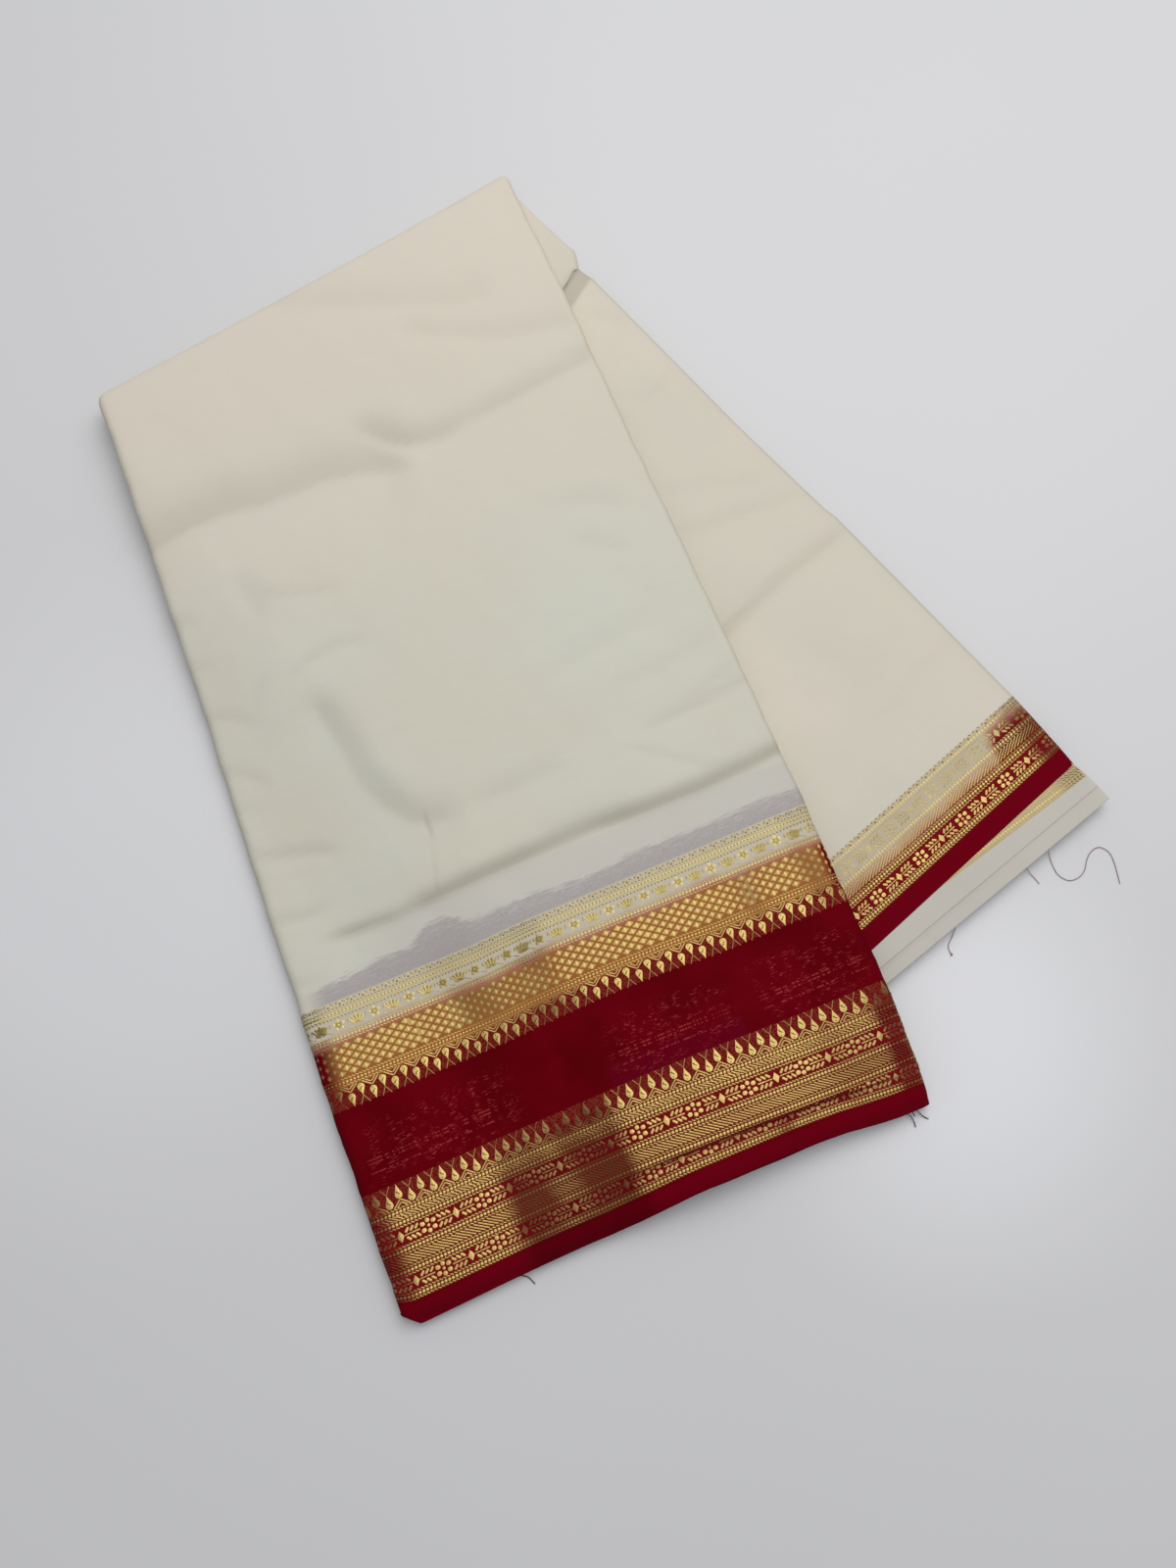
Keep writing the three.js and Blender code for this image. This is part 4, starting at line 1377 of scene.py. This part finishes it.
# Loose threads as x, y and height: the back leg's from its right edge and along it from the fold,
# the front leg's from the measuring origin.
BACK_THREADS = {
    "thread_curly": [
        (-42.5, 511, 3.5), (-43, 517, 2.2), (-44.3, 520.5, 0.8), (-46.4, 525, 0.3), (-47.7, 530.6, 0.3),
        (-45.8, 536.2, 0.3), (-40.8, 538.7, 0.3), (-35.1, 538.1, 0.3), (-29.4, 534.6, 0.3),
        (-24.2, 533.1, 0.3), (-19.4, 534.4, 0.3), (-17.5, 539.6, 0.3), (-19.5, 545.6, 0.3),
        (-25.5, 555.6, 0.3)],
    "thread_short": [(-59.4, 511, 3.5), (-59.3, 517, 2.2), (-59.1, 520.6, 0.8), (-59, 523.9, 0.3),
                     (-59.2, 527.5, 0.3)],
    "thread_knot": [
        (-110.5, 509, 3.3), (-111.6, 514.4, 2.4), (-113.4, 516.2, 1.2), (-116.2, 517.7, 0.4),
        (-119.8, 519.2, 0.3), (-121.6, 520.8, 0.3), (-122.5, 523.1, 0.4), (-123.2, 524.6, 0.6),
        (-122.2, 524.3, 0.5), (-122.4, 523.4, 0.3)],
}
FRONT_THREADS = {
    "thread_front_left": [(-69, -68, 4.0), (-67.8, -72.5, 2.2), (-65, -74.5, 0.5), (-62.3, -76.6, 0.3),
                          (-60.4, -80.5, 0.3)],
    "thread_corner_a": [(146.5, -68, 4.0), (147.9, -73.8, 3.0), (149.5, -76.9, 1.8),
                        (150.1, -79.6, 0.6), (149.8, -82.4, 0.4)],
    "thread_corner_b": [(149.6, -68, 4.0), (150.8, -74.2, 3.0), (151.2, -77.2, 2.0)],
    "thread_corner_c": [(151.6, -68, 4.0), (153.1, -73.8, 3.0), (154.5, -77.2, 1.8),
                        (156.0, -79.3, 0.6), (157.7, -81.2, 0.4)],
}


def front_spot(x, y):
    return x + TABLE_X, y + TABLE_Y


def lay_threads(table, spot, radius, material, replaced):
    """Lays the threads of one table and returns their pieces."""
    pieces = []
    for name, line in table.items():
        line = np.array(line, float)
        line[:, 0], line[:, 1] = spot(line[:, 0], line[:, 1])
        line = smooth_line(line)
        line[:, 2] = np.maximum(line[:, 2], radius + 0.03)
        points, faces, uv = tube(line, radius)
        pieces.append(place_mesh(name, points, faces, material, "saree_cloth", [replaced], uv))
    return pieces


thread_dark = thread_material("thread_dark", (0.05, 0.014, 0.02, 1), (0.12, 0.045, 0.055, 1))
thread_maroon = thread_material("thread_maroon", (0.17, 0.04, 0.055, 1), (0.28, 0.09, 0.11, 1))
back_threads = lay_threads(BACK_THREADS, back_spot, 0.17, thread_maroon, "back_under_lower")
front_threads = lay_threads(FRONT_THREADS, front_spot, 0.26, thread_dark, "front_fall")

# ---- Table, light and camera

# The camera's height, its spot over the measuring origin, its tilt and its heading.
CAMERA_HEIGHT = 0.635
CAMERA_SPOT = (np.array([TABLE_X, TABLE_Y, 0]) - ORIGIN) * METRE
TILT = math.radians(14.3)
HEADING = math.radians(-21.6)

# Two soft patches of painted light on the table: where, how far each reaches, and how strong it is.
PAINTED_LIGHT_PATCHES = [((0.085, -0.28, 0), (0.15, 0.02), 0.75), ((-0.297, -0.033, 0), (0.22, 0.05), 0.36)]
FLOOR_REACH = 3.0

table = Graph("table_top", 0.42, True, Specular_IOR_Level=0.35)
patches = []
for spot, reach, strength in PAINTED_LIGHT_PATCHES:
    away = {0: table.map, 1: spot}
    away = table.add("ShaderNodeVectorMath", away, "Value", operation="DISTANCE")
    patches.append(table.ramp(away, *reach) * strength)
table_colour = table.mix(table.noise(3.0, 2), (0.70, 0.703, 0.715, 1), (0.725, 0.728, 0.74, 1))
# Within the patches the table's colour is mixed toward this painted light.
floor_look = table.finish(table.mix(table.most(*patches), table_colour, (0.88, 0.89, 0.92, 1)))
floor_mesh = bpy.data.meshes.new("floor")
corners = [(-1, -1), (1, -1), (1, 1), (-1, 1)]
floor_mesh.from_pydata([(x * FLOOR_REACH, y * FLOOR_REACH, 0) for x, y in corners], [], [(0, 1, 2, 3)])
floor = bpy.data.objects.new("floor", floor_mesh)
floor_mesh.materials.append(floor_look)
bpy.context.scene.collection.objects.link(floor)
floor.location.z = -0.0002


def photo_spot(right, up, height):
    """A place over the table, from the photo's own right and up."""
    c, s = math.cos(-HEADING), math.sin(-HEADING)
    return Vector((right * c + up * s, -right * s + up * c, height))


light = bpy.data.lights.new("key", "AREA")
light.shape = "SQUARE"
light.size = 1.5
light.energy = 16.5
light.color = (1.0, 0.99, 0.98)
key = bpy.data.objects.new("key", light)
bpy.context.scene.collection.objects.link(key)
key.location = photo_spot(0.30, 0.62, 1.45)
key.rotation_euler = (-key.location).to_track_quat("-Z", "Y").to_euler()

world = bpy.data.worlds.new("studio")
bpy.context.scene.world = world
world.use_nodes = True
sky = world.node_tree.nodes["Background"].inputs
sky["Color"].default_value = (0.97, 0.975, 1.0, 1)
sky["Strength"].default_value = 0.41

camera = bpy.data.objects.new("camera", bpy.data.cameras.new("camera"))
bpy.context.scene.collection.objects.link(camera)
camera.data.sensor_width = 36.0
camera.data.lens = 1202 / 1600 * 36.0
camera.data.clip_start = 0.01
camera.location = (CAMERA_SPOT[0], CAMERA_SPOT[1], CAMERA_HEIGHT)
camera.rotation_euler = (TILT, 0, HEADING)
bpy.context.scene.camera = camera
bpy.context.scene.view_settings.view_transform = "Standard"
